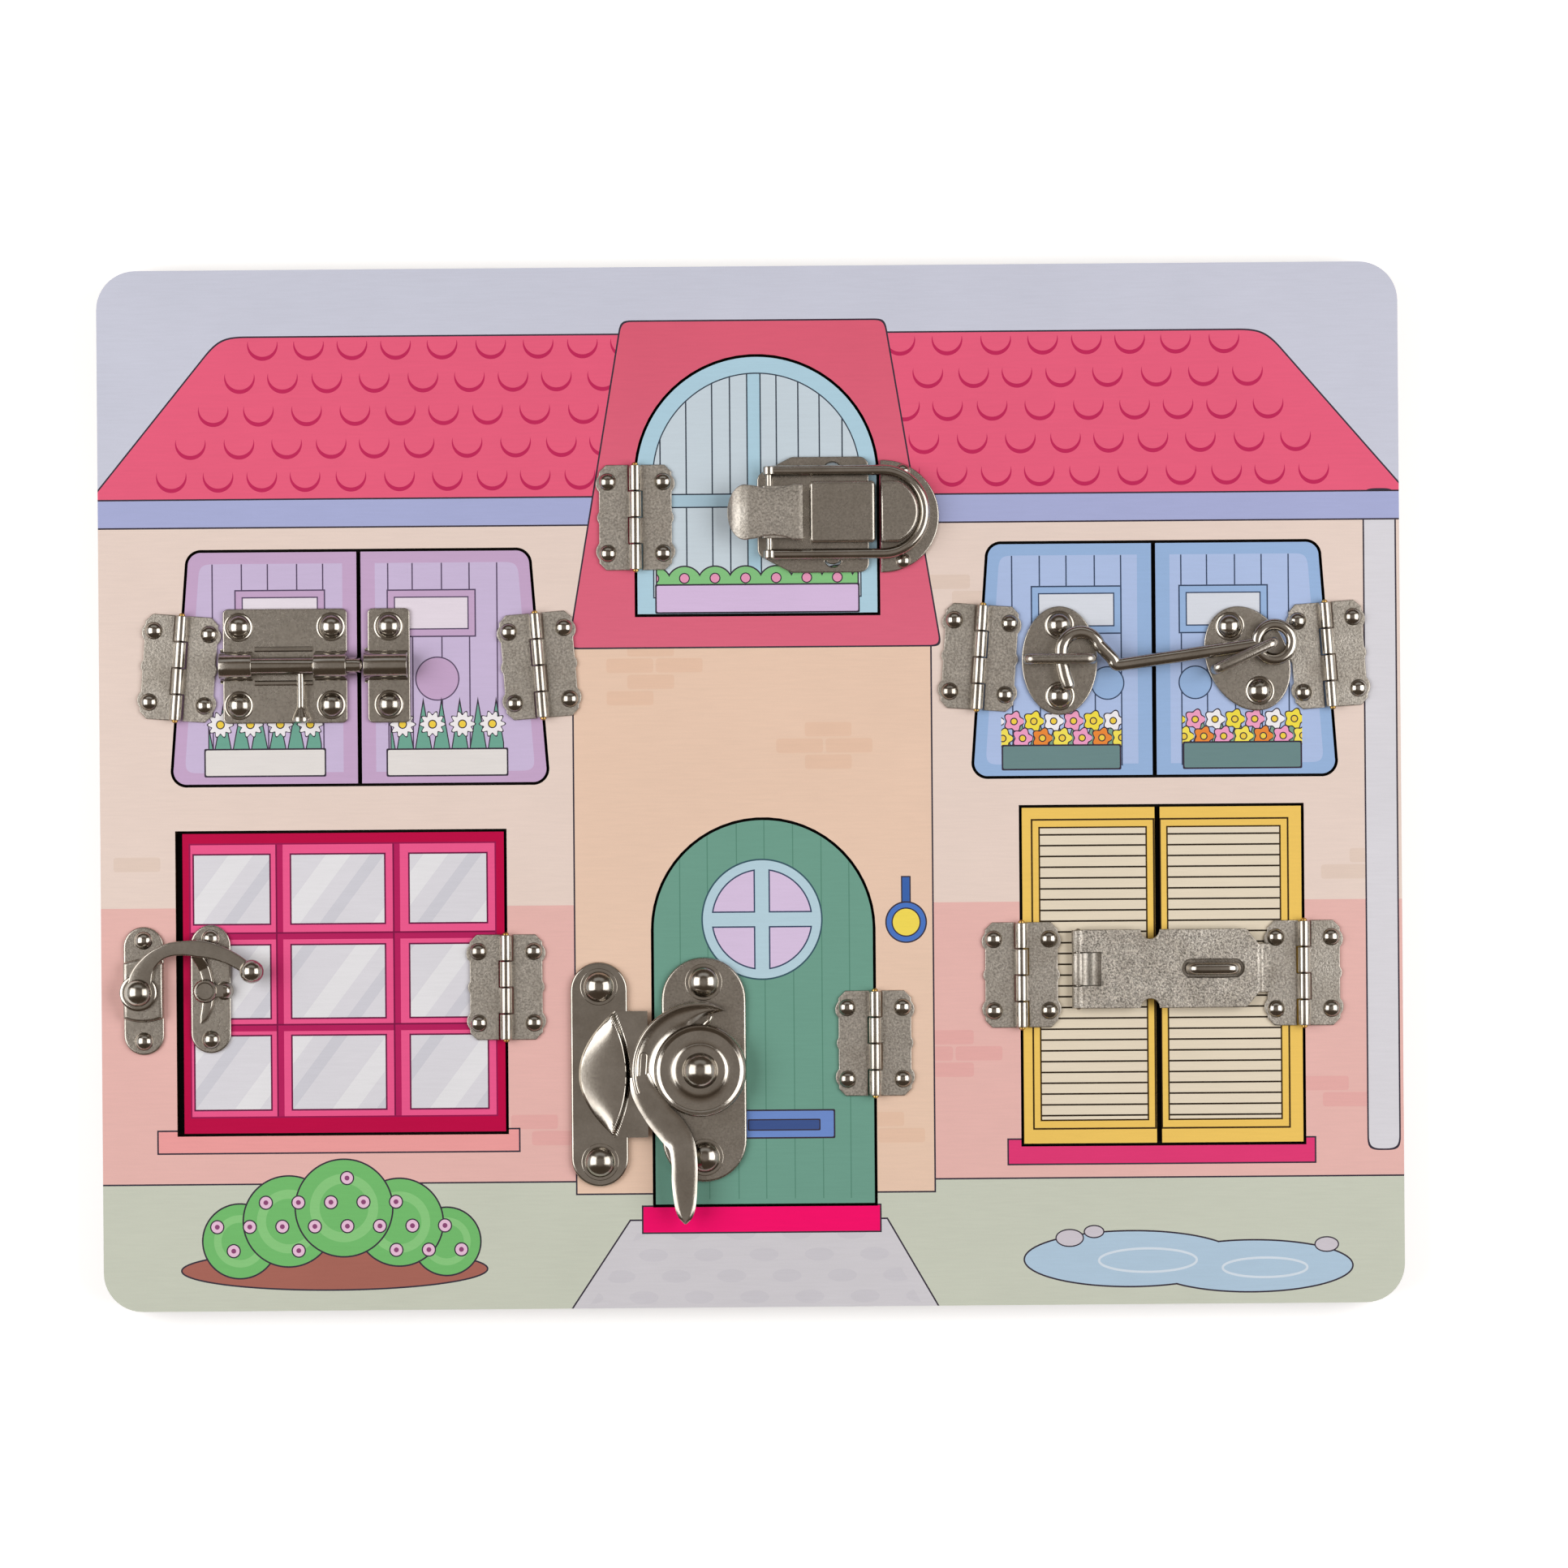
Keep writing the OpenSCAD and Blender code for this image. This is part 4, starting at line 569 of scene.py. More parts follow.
# The noise of the wood's fibres, and how deep they are in metres.
FIBRE = (900, 3.0, (0.12, 1.6, 1))
FIBRE_DEPTH = 0.00006
# The noise of a veneer's grain, and how thick a layer of the plywood is.
GRAIN = (60, 4.0, (0.25, 3.0, 1))
LAYER = 2.0
# A face has its own look down to this depth.
SKIN = 0.04


def printed_wood(name, picture_of, foot):
    """Plywood with a picture on its face and its layers on its sides. Down to its foot it is bare."""
    shader = Shader(bpy.data.materials.new(name))
    picture = picture_of(shader)
    height = shader.height()
    fibre = shader.noise(*FIBRE)
    fleck = shader.noise(2600, 2.0)
    cloud = shader.noise(35, 2.0)
    tone = shader.spread(fibre + fleck * 0.6 + cloud * 0.8, 0.7, 1.7, 0.95, 1.04)
    ink = shader.scaled(picture.colour, tone)
    bare = plywood_colour(shader, height, foot)
    colour = shader.mix(height > FACE - SKIN, bare, ink)
    relief = shader.bump(fibre * 0.7 + fleck * 0.3, FIBRE_DEPTH, 0.5)
    dull = shader.spread(fleck, 0.3, 0.7, 0.42, 0.58)
    return shader.finish(Base_Color=colour, Roughness=dull, Normal=relief, Specular_IOR_Level=0.12)


def plywood_colour(shader, height, foot):
    """Bare plywood: veneer with long grain on its flats, and on its sides thin layers that a laser has
    browned."""
    veneer = veneer_colour(shader, "C9A67A", "D9BC92", "E4CBA4")
    layer = wrapped(height - foot, LAYER) > 0
    side = shader.mix(layer, "5E4025", "8A6238")
    char = shader.spread(shader.noise(140, 2.0, (1, 1, 0.1)), 0.35, 0.65, 0.6, 0.9)
    side = shader.mix(char, side, "1E140E")
    on_side = (height > foot + 0.06) * (height < FACE - SKIN)
    return shader.mix(on_side, veneer, side)


def veneer_colour(shader, dark, middle, pale):
    """Three shades of veneer, which follow its grain."""
    stops = [(0.3, dark), (0.5, middle), (0.7, pale)]
    return shader.node("ValToRGB", {"stops": stops}, {0: shader.noise(*GRAIN)})


# ---------------------------------------------------------------- Sizes and colours a user may change

def colour_prop(name, description, code):
    """A colour that a user may change, from its hex code."""
    return FloatVectorProperty(name=name, description=description, default=srgb(code)[:3], subtype="COLOR",
                               size=3, min=0, max=1)


class BoardPrint(bpy.types.PropertyGroup):
    """Colours of the printed house."""
    sky: colour_prop("Sky", "Behind the roof", "CBCEDE")
    roof: colour_prop("Roof", "Of the tiled roof", "E96080")
    tile: colour_prop("Tile edge", "Of the curved edges of the roof tiles", "C2285A")
    dormer: colour_prop("Dormer", "Round the attic door", "DE6079")
    gutter: colour_prop("Gutter", "Of the band under the roof", "A9B0DA")
    wall: colour_prop("Upper wall", "Of the upper floor's wall", "E8D5CB")
    low_wall: colour_prop("Lower wall", "Of the ground floor's wall", "E8B9B3")
    tower: colour_prop("Tower", "Round the front door", "EACBB5")
    grass: colour_prop("Grass", "Along the foot", "CACFC0")
    path: colour_prop("Path", "Before the front door", "D2D0D6")


class PanelPaint(bpy.types.PropertyGroup):
    """Colours of the nine panels."""
    attic: colour_prop("Attic boards", "Of the attic door", "C8D6E0")
    lilac: colour_prop("Lilac", "Of the left pair of shutters", "CBBBDC")
    blue: colour_prop("Blue", "Of the right pair of shutters", "AFC2E8")
    window: colour_prop("Window frame", "Of the window's outer frame", "BE0045")
    glass: colour_prop("Glass", "Of the printed panes", "DCDBE2")
    door: colour_prop("Front door", "Of its boards", "6FA08F")
    yellow: colour_prop("Yellow", "Of the louvred shutters' frames", "F0C864")
    louvre: colour_prop("Louvres", "Of the slats", "E6DAC4")


class MetalFinish(bpy.types.PropertyGroup):
    """How the hardware looks."""
    nickel: colour_prop("Nickel", "Of the plated steel", "B9B3AA")
    matt_roughness: FloatProperty(name="Sheet roughness", description="How matt hinges and hasp are",
                                  default=0.42, min=0, max=1)
    plate_roughness: FloatProperty(name="Plate roughness", description="How matt the latches' plates are",
                                   default=0.27, min=0, max=1)
    bright_roughness: FloatProperty(name="Rod roughness", description="How matt rods, wires and rivets are",
                                    default=0.17, min=0, max=1)
    brass: colour_prop("Brass", "Of the hinges' pin ends", "C9A45C")


class Studio(bpy.types.PropertyGroup):
    """Camera, lamps and surroundings."""
    camera_height: FloatProperty(name="Camera height", description="Above the board's face", default=1.6,
                                 unit="LENGTH")
    lens: FloatProperty(name="Lens", description="Focal length in millimetres", default=119.5, min=20)
    lamp_power: FloatProperty(name="Lamp power", description="Of each of the two soft boxes, in watts",
                              default=7.3, min=0)
    sky_level: FloatProperty(name="Surroundings", description="Strength of the light from all round",
                             default=1.0, min=0)


def of_group(group, name):
    """A colour property as the four numbers that a socket takes."""
    return (*getattr(group, name), 1.0)


# ---------------------------------------------------------------- Pictures on the sheets

BOARD_FOOT = -160


def house_picture(shader):
    """The house front: sky, walls, grass, roof, downpipe, gutter, path, tower, dormer, sills, lamp, flower
    bed and puddle. A box takes its left, right, foot and top in millimetres."""
    paint = bpy.context.scene.board_print
    picture = Picture(shader, of_group(paint, "sky"))
    x, y = picture.x, picture.y
    lawn, floor, eaves = -121, -36, 80.8
    picture.fill(highest(y - eaves, lawn - y), of_group(paint, "wall"))
    picture.fill(highest(y - floor, lawn - y), of_group(paint, "low_wall"))
    brick_patch(picture, [(-190, -24, 7), (66, 62, 6), (186, -26, 7)], "E2CDC0")
    brick_patch(picture, [(62, -84, 8), (-62, -105, 7), (182, -96, 8)], "E6AEAA")
    picture.shape(y - lawn, of_group(paint, "grass"))
    draw_roof(picture, paint)
    picture.shape(picture.box(189, 198.8, -113, 90, smooth=5), "DAD9E0")
    picture.shape(highest(abs(y - 85.15) - 4.35, abs(x) - 205), of_group(paint, "gutter"))
    draw_ground(picture, paint)
    picture.shape(picture.box(-54.4, 55.8, -124.9, 43), of_group(paint, "tower"))
    brick_patch(picture, [(-30, 36, 11), (24, 12, 11), (46, -106, 8)], "E7C4AC")
    dormer = picture.polygon((-55.7, 42.9), (58.9, 42.9), (42.3, 143.4), (-38.7, 143.4), smooth=4)
    picture.shape(dormer, shader.mix(shader.spread(y, 45, 140), "DE6882", of_group(paint, "dormer")))
    for edges, colour in (((-183, -71.8, -111.5, -104.5), "EFA1A1"), ((78.3, 172.8, -116.8, -109), "E23A77"),
                          ((-34.2, 39, -137, -128.7), "F9066C")):
        picture.shape(picture.box(*edges), colour)
    draw_lamp(picture)
    draw_flower_bed(picture)
    draw_puddle(picture)
    return picture


def draw_roof(picture, paint):
    """A hipped roof. Its tiles show as crescents: inside one disc and outside another a little above it, in
    rows 10.1 apart that are staggered by half their pitch of 14.1. A sine of the place shifts each a
    little."""
    x, y = picture.x, picture.y
    roof = picture.polygon((-206, 85), (206, 85), (159, 139.4), (-162, 139.4), smooth=7)
    picture.fill(roof, of_group(paint, "roof"))
    pitch, rise, low = 14.1, 10.1, 91.4
    row = maths("FLOOR", (y - low) / rise)
    across = wrapped(x + (row % 2) * (pitch / 2) - 5.5, pitch)
    across = across + maths("SINE", (x - across) * 1.7 + row * 2.1) * 0.8
    up = y - low - row * rise
    disc = hypotenuse(across, up - 5.0) - 4.7
    cut = 4.45 - hypotenuse(across, up - 6.0)
    end = abs(x - across) - 186 + row * rise * 0.85
    picture.fill(highest(disc, cut, end, abs(y - 114.5) - 23.5), of_group(paint, "tile"))
    picture.line(roof)


def brick_patch(picture, patches, colour):
    """Faint bricks 14.4 by 4.4 in staggered rows: those whose middle lies in one of some discs are drawn
    whole."""
    across, up, middle = picture.cells(15.2, 5.0, 6.4)
    brick = highest(abs(across) - 7.2, abs(up) - 2.2, smooth=1.5)
    picture.fill(highest(brick, picture.beyond_discs(middle, patches)), colour)


def draw_ground(picture, paint):
    """A path that widens towards the foot, with faint stones."""
    path = picture.polygon((-60, -166), (60, -166), (41, -133), (-38, -133))
    picture.fill(path, of_group(paint, "path"))
    x, y = picture.x, picture.y
    row = maths("FLOOR", (y - BOARD_FOOT) / 6.5)
    across = wrapped(x + row * 7.0, 17.0)
    up = wrapped(y - BOARD_FOOT - 3.2, 6.5)
    stone = maths("SQRT", across * across / 20 + up * up / 4) - 1
    picture.fill(highest(stone, path + 4), "CDCBD2")
    picture.line(path)


def draw_lamp(picture):
    """A plain round wall lamp on a small bracket."""
    picture.shape(picture.box(46.2, 48.8, -38, -28), "3D66B0", 0.4)
    picture.shape(picture.disc(47.5, -42, 6.2), "4C77C6", 0.45)
    picture.shape(picture.disc(47.5, -42, 4.3), "F3DC5A", 0.4)


def draw_flower_bed(picture):
    """A rounded bed of earth with five overlapping bushes, each with a paler ring, and rows of small
    blossoms."""
    picture.shape(picture.oval(-129, -147.5, 47, 6.2), "A8685C")
    bushes = [(-158, -138.5, 11.5), (-94.5, -139, 10.5), (-143, -132.5, 14), (-109, -133, 13.5),
              (-126, -128.5, 15)]
    for x, y, radius in bushes:
        bush = picture.disc(x, y, radius)
        picture.shape(bush, "74BE70")
        picture.fill(abs(bush + radius * 0.4) - radius * 0.1, "8ACB82")
    across, up, middle = picture.cells(10.0, 7.4, 5.0, BOARD_FOOT)
    # A blossom is drawn whole if its middle is 3.2 inside a bush. The factor keeps its outline clear of the
    # edge.
    cover = (picture.beyond_discs(middle, bushes) + 3.2) * 10
    blossom = hypotenuse(across, up)
    picture.shape(highest(blossom - 2.0, cover), "E9C3DC", 0.4)
    picture.fill(highest(blossom - 0.75, cover), "8E4A78")


def draw_puddle(picture):
    """A pale blue puddle of two overlapping ovals, with ripple rings and three stones at its edge."""
    picture.shape(lowest(picture.oval(116, -146, 33, 8.6), picture.oval(153, -148.5, 31, 8)), "B2CBE0")
    ripples = lowest(abs(picture.oval(121, -146.5, 15, 3.6)), abs(picture.oval(157, -149, 13, 3.0)))
    picture.fill(ripples - 0.35, "D6E2EE")
    for x, y, half in ((97, -139.5, 4.2), (104.5, -137.6, 3.0), (176, -142, 3.6)):
        picture.shape(picture.oval(x, y, half, half * 0.62), "CFC9D2", 0.4)


def attic_picture(shader):
    """Pale boards in an arched border, a middle post and a rail, and a flower box at the foot."""
    paint = bpy.context.scene.panel_paint
    border, dark = "B0D2E3", "323B49"
    middle = 2.6
    picture = Picture(shader, border)
    x, y = picture.x, picture.y
    field = picture.arch(middle, 53.3, 36.85, 95.25) + 5.0
    picture.fill(field, shader.mix(shader.spread(y, 60, 120), "CBD8E1", of_group(paint, "attic")))
    lines = picture.upright_lines([-27, -19, -11, -5.5, 8.8, 15.5, 22.0, 29.0])
    picture.line(highest(lines, field), 0.42, dark)
    picture.shape(highest(picture.box(-0.2, 3.9, 40, 140), field), border, 0.42, dark)
    picture.shape(highest(picture.box(-60, 60, 86, 90), field), "A9C6D6", 0.42, dark)
    picture.line(field, 0.4, "3A4553")
    from_leaf = wrapped(x + 1.0, 9.4)
    in_box = abs(x - middle) - 31
    leaves = hypotenuse(from_leaf, highest(y - 62.5, 0.0)) - 5.4
    picture.shape(highest(leaves, 60 - y, in_box), "86C584", 0.45)
    picture.shape(highest(hypotenuse(from_leaf, y - 64.2) - 1.5, in_box), "E79BBD", 0.35)
    picture.shape(picture.box(-28.6, 33.8, 53.6, 62.2, smooth=0.8), "D8BFE3")
    return picture


# What the two shutters of a pair share: the middle and foot of their opening, its half widths at foot and
# top, and the colours of boards, border, lines, flower box and leaves. A round cut-out has its middle and
# radius. A row of flowers has its height over the box, its pitch, its shift, its petals, its radius and its
# colours.
LILAC_PAIR = {
    "middle": -120, "foot": 1.1, "half_foot": 58.6, "half_top": 53.0, "boards": "lilac", "border": "C6A8CC",
    "ink": "5B4C68", "box_colour": "E4E0DE", "leaf_colour": "6FA896",
    "flowers": [(7.6, 9.2, 0.2, 10, 4.0, ("F2EFF2",))],
}
BLUE_PAIR = {
    "middle": 124.3, "foot": 1.8, "half_foot": 56.7, "half_top": 51.4, "boards": "blue", "border": "98B6DF",
    "ink": "3C4A66", "glass": "D9DEE8", "box_colour": "6C8A8B", "leaf_colour": "7FA58F", "leaf_top": 8.0,
}
SHUTTERS = {
    "lilac_shutter_left": {
        **LILAC_PAIR, "window": (-158, -130.5, 47, 61.5), "glass": "E8E0EA", "cutout": (-146, 33, 6.0),
        "lines": (-165, -156, -148, -139, -131), "box": (-167.6, -130.6, 4.4, 12.7), "leaf_top": 13.0,
    },
    "lilac_shutter_right": {
        **LILAC_PAIR, "window": (-111.2, -84.2, 47, 61.3), "glass": "E6DCE8", "cutout": (-96, 34, 6.6),
        "lines": (-111, -103.5, -94.5, -86, -77.5), "box": (-111.6, -74.6, 4.2, 12.4), "leaf_top": 15.0,
    },
    "blue_shutter_left": {
        **BLUE_PAIR, "window": (86.8, 114.3, 46.3, 60.8), "cutout": (110, 31, 5.0),
        "lines": (80.8, 89.3, 97.5, 106.2, 114.3), "box": (77.5, 113.8, 4.6, 12.0),
        "flowers": [(7.4, 6.1, 0.6, 5, 3.3, ("F0A3C6", "F2E04A", "F2F0F4")),
                    (2.2, 6.1, 3.2, 5, 3.3, ("EFA1C8", "EB8B3C", "F4E35C"))],
    },
    "blue_shutter_right": {
        **BLUE_PAIR, "window": (132.2, 159.3, 46.3, 60.8), "cutout": (137, 31, 5.0),
        "lines": (132.8, 140.7, 149.3, 157.5, 165.8), "box": (133.2, 169.4, 4.6, 12.6),
        "flowers": [(7.0, 6.1, 0.6, 5, 3.3, ("F0A3C6", "F2F0F4", "F2E04A")),
                    (1.8, 6.1, 3.2, 5, 3.3, ("EB8B3C", "EFA1C8", "F4E35C"))],
    },
}
SHUTTER_HEIGHT = 73


def shutter_picture(shader, one):
    """One upper shutter: a border, upright boards, a small window, a round cut-out and a flower box."""
    paint = bpy.context.scene.panel_paint
    middle, foot, border, ink = one["middle"], one["foot"], one["border"], one["ink"]
    top = foot + SHUTTER_HEIGHT
    picture = Picture(shader, border)
    x, y = picture.x, picture.y
    outline = picture.polygon((middle - one["half_foot"], foot), (middle + one["half_foot"], foot),
                              (middle + one["half_top"], top), (middle - one["half_top"], top), smooth=5)
    outline = highest(outline, 0.6 - abs(x - middle))
    picture.fill(highest(outline + 4.4, 3.4 - abs(x - middle), smooth=2), of_group(paint, one["boards"]))
    picture.line(highest(picture.upright_lines(one["lines"]), y - foot - 68.3, foot + 4 - y), 0.42, ink)
    picture.shape(picture.disc(*one["cutout"]), border, 0.4, ink)
    left, right, low, high = one["window"]
    picture.shape(picture.box(left, right, low, high), border, 0.45, ink)
    picture.shape(picture.box(left + 2.2, right - 2.2, low + 2.3, high - 2.2), one["glass"], 0.4, ink)
    draw_flower_box(picture, one)
    return picture


def draw_flower_box(picture, one):
    """A plain box with pointed leaves behind it and regular rows of round blossoms in one to three
    colours."""
    left, right, foot, top = one["box"]
    x, y = picture.x, picture.y
    inside = abs(x - (left + right) / 2) - (right - left) / 2 + 1.2
    leaf = abs(wrapped(x - left, 5.6)) - 2.5 + (y - top) * (2.5 / one["leaf_top"])
    picture.shape(highest(leaf, inside, top - 1 - y), one["leaf_colour"], 0.35)
    for height, pitch, shift, petals, radius, colours in one["flowers"]:
        cell = maths("FLOOR", (x - left - shift) / pitch)
        across = (x - left - shift) % pitch - pitch / 2
        choice = (cell % len(colours)) / len(colours)
        stops = [(i / len(colours), colour) for i, colour in enumerate(colours)]
        petal = picture.shader.node("ValToRGB", {"stops": stops}, {0: choice + 0.01})
        petal.socket.node.color_ramp.interpolation = "CONSTANT"
        before = picture.colour
        picture.blossoms(across, y - top - height, radius, petals, petal, "F2D24C")
        picture.colour = picture.shader.mix(inside < 1.5, before, picture.colour)
    picture.shape(picture.box(left, right, foot, top, smooth=0.8), one["box_colour"])


def window_picture(shader):
    """A window of three by three panes. Bands of light cross the glass, and each bar is dark along its
    middle."""
    paint = bpy.context.scene.panel_paint
    picture = Picture(shader, of_group(paint, "window"))
    x, y = picture.x, picture.y
    inside = picture.box(-172.6, -78.6, -100.4, -16.4)
    picture.fill(inside, "EE5A90")
    middles = lowest(abs(x + 145.0), abs(x + 109.0), abs(y + 44.8), abs(y + 73.0))
    picture.fill(highest(middles - 1.0, inside), "B81E5E")
    edges = lowest(abs(x + 146.0), abs(x + 110.0), abs(y + 43.8), abs(y + 72.0))
    picture.line(highest(edges, inside), 0.5, "7E1146")
    picture.line(inside, 0.5, "9C1450")
    ray = (x - y * 0.75) % 30.0
    glass = shader.mix(abs(ray - 8) < 3.8, of_group(paint, "glass"), "E6E6EA")
    glass = shader.mix(abs(ray - 20) < 2.2, glass, "D0D0D9")
    for left, right in ((-171.5, -147.9), (-141.6, -112.6), (-105.2, -81.2)):
        for foot, top in ((-98.2, -75.3), (-70.1, -47.4), (-41.1, -19.6)):
            picture.shape(picture.box(left, right, foot, top), glass, 0.5, "6A1A45")
    return picture


def door_picture(shader):
    """A boarded door with a round window in four panes and a plain letter slot."""
    paint = bpy.context.scene.panel_paint
    picture = Picture(shader, of_group(paint, "door"))
    boards = highest(picture.upright_lines([-22, -13.5, -4.5, 4.0, 12.8, 21.5, 30]), -126.5 - picture.y)
    picture.line(boards, 0.35, "5C8D7B")
    x, y = 3.2, -40.8
    rim = picture.disc(x, y, 18.4)
    picture.shape(rim, "B7D3E0", 0.5, "3B5A66")
    panes = highest(rim + 3.1, 2.3 - abs(picture.x - x), 2.3 - abs(picture.y - y))
    picture.shape(panes, "D9C5E4", 0.45, "3B4A66")
    picture.shape(picture.box(-6, 25, -108, -99.5, smooth=0.8), "6F8ECF")
    picture.shape(picture.box(-1.5, 20.5, -105.6, -102.4, smooth=0.6), "3F568F", 0.4)
    return picture


def louvre_picture(shader, left, right, inner):
    """Slats 3.3 apart inside a yellow frame of two bars."""
    paint = bpy.context.scene.panel_paint
    dark = "3E2C12"
    picture = Picture(shader, of_group(paint, "yellow"))
    field = picture.box(left, right, -103.3, -13.3)
    slat = wrapped(picture.y + 42.1, 3.32)
    picture.fill(field, shader.mix(abs(slat) < 0.27, of_group(paint, "louvre"), "2E2418"))
    picture.line(field, 0.5, dark)
    picture.line(picture.box(*inner, -105.9, -10.9), 0.55, dark)
    return picture


def backing_picture(shader):
    """Plywood painted near black under the cuts as shade. Inside each opening the bare wood shows, except for
    a dark margin at its edges and along the gaps between paired leaves, which stands for painted shadow. One
    plain shape behind each panel.
    """
    wood = veneer_colour(shader, "D2B389", "E2C9A2", "EAD6B4")
    # Painted shade: the near-black ground stands for the shadow in the gaps round the panels.
    picture = Picture(shader, "1C120C")
    openings = [
        picture.arch(2.6, 57, 33, 95.25), picture.arch(3.55, -125, 30, -44),
        picture.polygon((-174, 6), (-66, 6), (-71, 70), (-169, 70)),
        picture.polygon((72, 7), (177, 7), (172, 70), (77, 70)),
        picture.box(-171, -79, -102, -16), picture.box(86.5, 166, -107, -10.5),
    ]
    # Painted shade: within 1.6 of the line between the two leaves of a pair the ground stays dark, as shadow
    # in that gap.
    leaves = lowest(abs(picture.x + 120) + highest(picture.y * -1.0, 0.0), abs(picture.x - 124.6))
    picture.fill(highest(lowest(*openings), 1.6 - leaves), wood)
    picture.shape(picture.disc(2.6, 92, 18), "F2D24C")
    picture.shape(picture.box(-14, 21, -112, -46, smooth=5), "EBA45C")
    picture.shape(picture.disc(-126, -60, 26), "A9D39B")
    for x, y, colour in ((-146, 38, "9CC9DE"), (-94, 38, "9CC9DE"), (100, 38, "E79BBD"), (149, 38, "E79BBD"),
                         (104, -58, "C8A9D6"), (146, -58, "C8A9D6")):
        picture.shape(picture.disc(x, y, 13), colour)
    return picture


# ---------------------------------------------------------------- Metals

# Each kind of nickel: its roughness property, how strong its specks, its pits and its slow wave are, and
# its specks to a metre.
NICKELS = {
    "matt": ("matt_roughness", 0.3, 0.6, 0.5, 1500),
    "frosted": ("matt_roughness", 0.6, 0.9, 0.5, 1700),
    "plate": ("plate_roughness", 0.14, 0.2, 0.35, 1500),
    "bright": ("bright_roughness", 0.05, 0.04, 0.1, 1500),
}


@functools.cache
def metal(kind):
    """The brass or one of the nickels, each made once."""
    return brass() if kind == "brass" else nickel("nickel_" + kind, *NICKELS[kind])


def nickel(name, roughness_name, speckle, pits, wave, scale):
    """Nickel plate: a warm grey metal with fine dark and bright specks, pits, and a slow wave that bends
    its reflections."""
    finish = bpy.context.scene.metal_finish
    roughness = getattr(finish, roughness_name)
    shader = Shader(bpy.data.materials.new(name))
    grain = shader.noise(scale, 3.0, roughness=0.7)
    cloud = shader.noise(120, 3.0)
    swell = shader.noise(40, 1.0)
    colour = shader.mix(shader.spread(cloud, 0.3, 0.7), of_group(finish, "nickel"), "A39C92")
    colour = shader.scaled(colour, shader.spread(grain, 0.34, 0.66, 1 - speckle, 1 + speckle))
    dull = shader.spread(cloud + grain * 0.6, 0.5, 1.1, roughness * 0.8, roughness * 1.25)
    relief = shader.bump(grain, 0.0002, pits, Normal=shader.bump(swell, 0.0008, wave))
    return shader.finish(Base_Color=colour, Metallic=1.0, Roughness=dull, Normal=relief)


def brass():
    """Dull brass with darker clouds."""
    shader = Shader(bpy.data.materials.new("brass_pin"))
    cloud = shader.noise(600, 2.0)
    brass_colour = of_group(bpy.context.scene.metal_finish, "brass")
    colour = shader.mix(shader.spread(cloud, 0.3, 0.7), brass_colour, "8C6A34")
    return shader.finish(Base_Color=colour, Metallic=1.0, Roughness=shader.spread(cloud, 0.3, 0.7, 0.25, 0.4))


# Points of one piece that lie nearer than this, in metres, are one point.
WELD = 2e-6
# Edges that turn by more than this are seen as sharp.
CREASE = math.radians(38)


def make_piece(name, solids, kind, body, node):
    """One object of one metal from several shapes. It rides on a body and stands for a CAD node."""
    points, faces = [], []
    count = 0
    for solid in map(facing_out, solids):
        points.append(solid[0])
        faces += [[count + i for i in face] for face in solid[1]]
        count += len(solid[0])
    mesh = bpy.data.meshes.new(name)
    mesh.from_pydata((np.concatenate(points) * MM).tolist(), [], faces)
    work = bmesh.new()
    work.from_mesh(mesh)
    bmesh.ops.remove_doubles(work, verts=work.verts, dist=WELD)
    work.to_mesh(mesh)
    work.free()
    mesh.shade_smooth()
    mesh.set_sharp_from_angle(angle=CREASE)
    mesh.materials.append(metal(kind))
    piece = bpy.data.objects.new(name, mesh)
    bpy.context.scene.collection.objects.link(piece)
    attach(piece, body)
    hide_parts(node)


# ---------------------------------------------------------------- Hinges and rivets

# Half the length of a hinge, the length of one of its four knuckles, and the height of its pin over the
# face.
LEAF_HALF = 16.2
KNUCKLE = LEAF_HALF / 2
PIN_UP = 1.95
# Free length at each end of a knuckle.
ROLL_GAP = 0.12


def leaf_solid(first):
    """One leaf to the right of its pin. Its outer edge is the farthest of a straight side with cut corners,
    two round bulges by the rivets and a small round peak between them. Of the four knuckles, the first and
    every second after it are its own, and it is cut back behind the others."""
    y = np.linspace(-LEAF_HALF, LEAF_HALF, 121)
    from_rivet = np.abs(y) - 10.4
    straight = np.minimum(11.2, 11.2 - 2.2 + LEAF_HALF - np.abs(y))
    bulge = np.where(np.abs(from_rivet) < 3.6, 8.6 + np.sqrt(np.clip(3.6 ** 2 - from_rivet ** 2, 0, None)), 0)
    peak = 9.0 + np.sqrt(np.clip(2.8 ** 2 - y ** 2, 0, None))
    outer = np.column_stack([np.maximum(straight, np.maximum(bulge, peak)), y])
    own, free = 0.4, 2.2
    back = np.where(np.arange(4) % 2 == first, own, free)
    ends = -LEAF_HALF + KNUCKLE * np.arange(5)
    inner = np.column_stack([np.repeat(back, 2), np.repeat(ends, 2)[1:-1]])[::-1]
    return plate(np.concatenate([outer, inner]), FACE, FACE + 0.8, 0.3)


def roll_solid(radius, low, high, origin):
    """A knuckle: a cylinder along Y from one place to another past its origin, with rounded ends."""
    edge = 0.25
    end = arc((radius - edge, edge), edge, -90, 0, 4)
    profile = np.concatenate([[[0, low]], end + [0, low], (end * [1, -1] + [0, high])[::-1], [[0, high]]])
    return placed(revolve(profile, 32), origin, **ALONG_Y)


def knuckle_solids(first):
    """A leaf's own two knuckles about the pin."""
    ends = [(-LEAF_HALF + KNUCKLE * i, -LEAF_HALF + KNUCKLE * (i + 1)) for i in (first, first + 2)]
    return [roll_solid(1.85, low + ROLL_GAP, high - ROLL_GAP, (0, 0, FACE + PIN_UP)) for low, high in ends]


def joint_named(name):
    """A joint of the frame."""
    return next(joint for joint in frame["joints"] if joint["name"] == name)


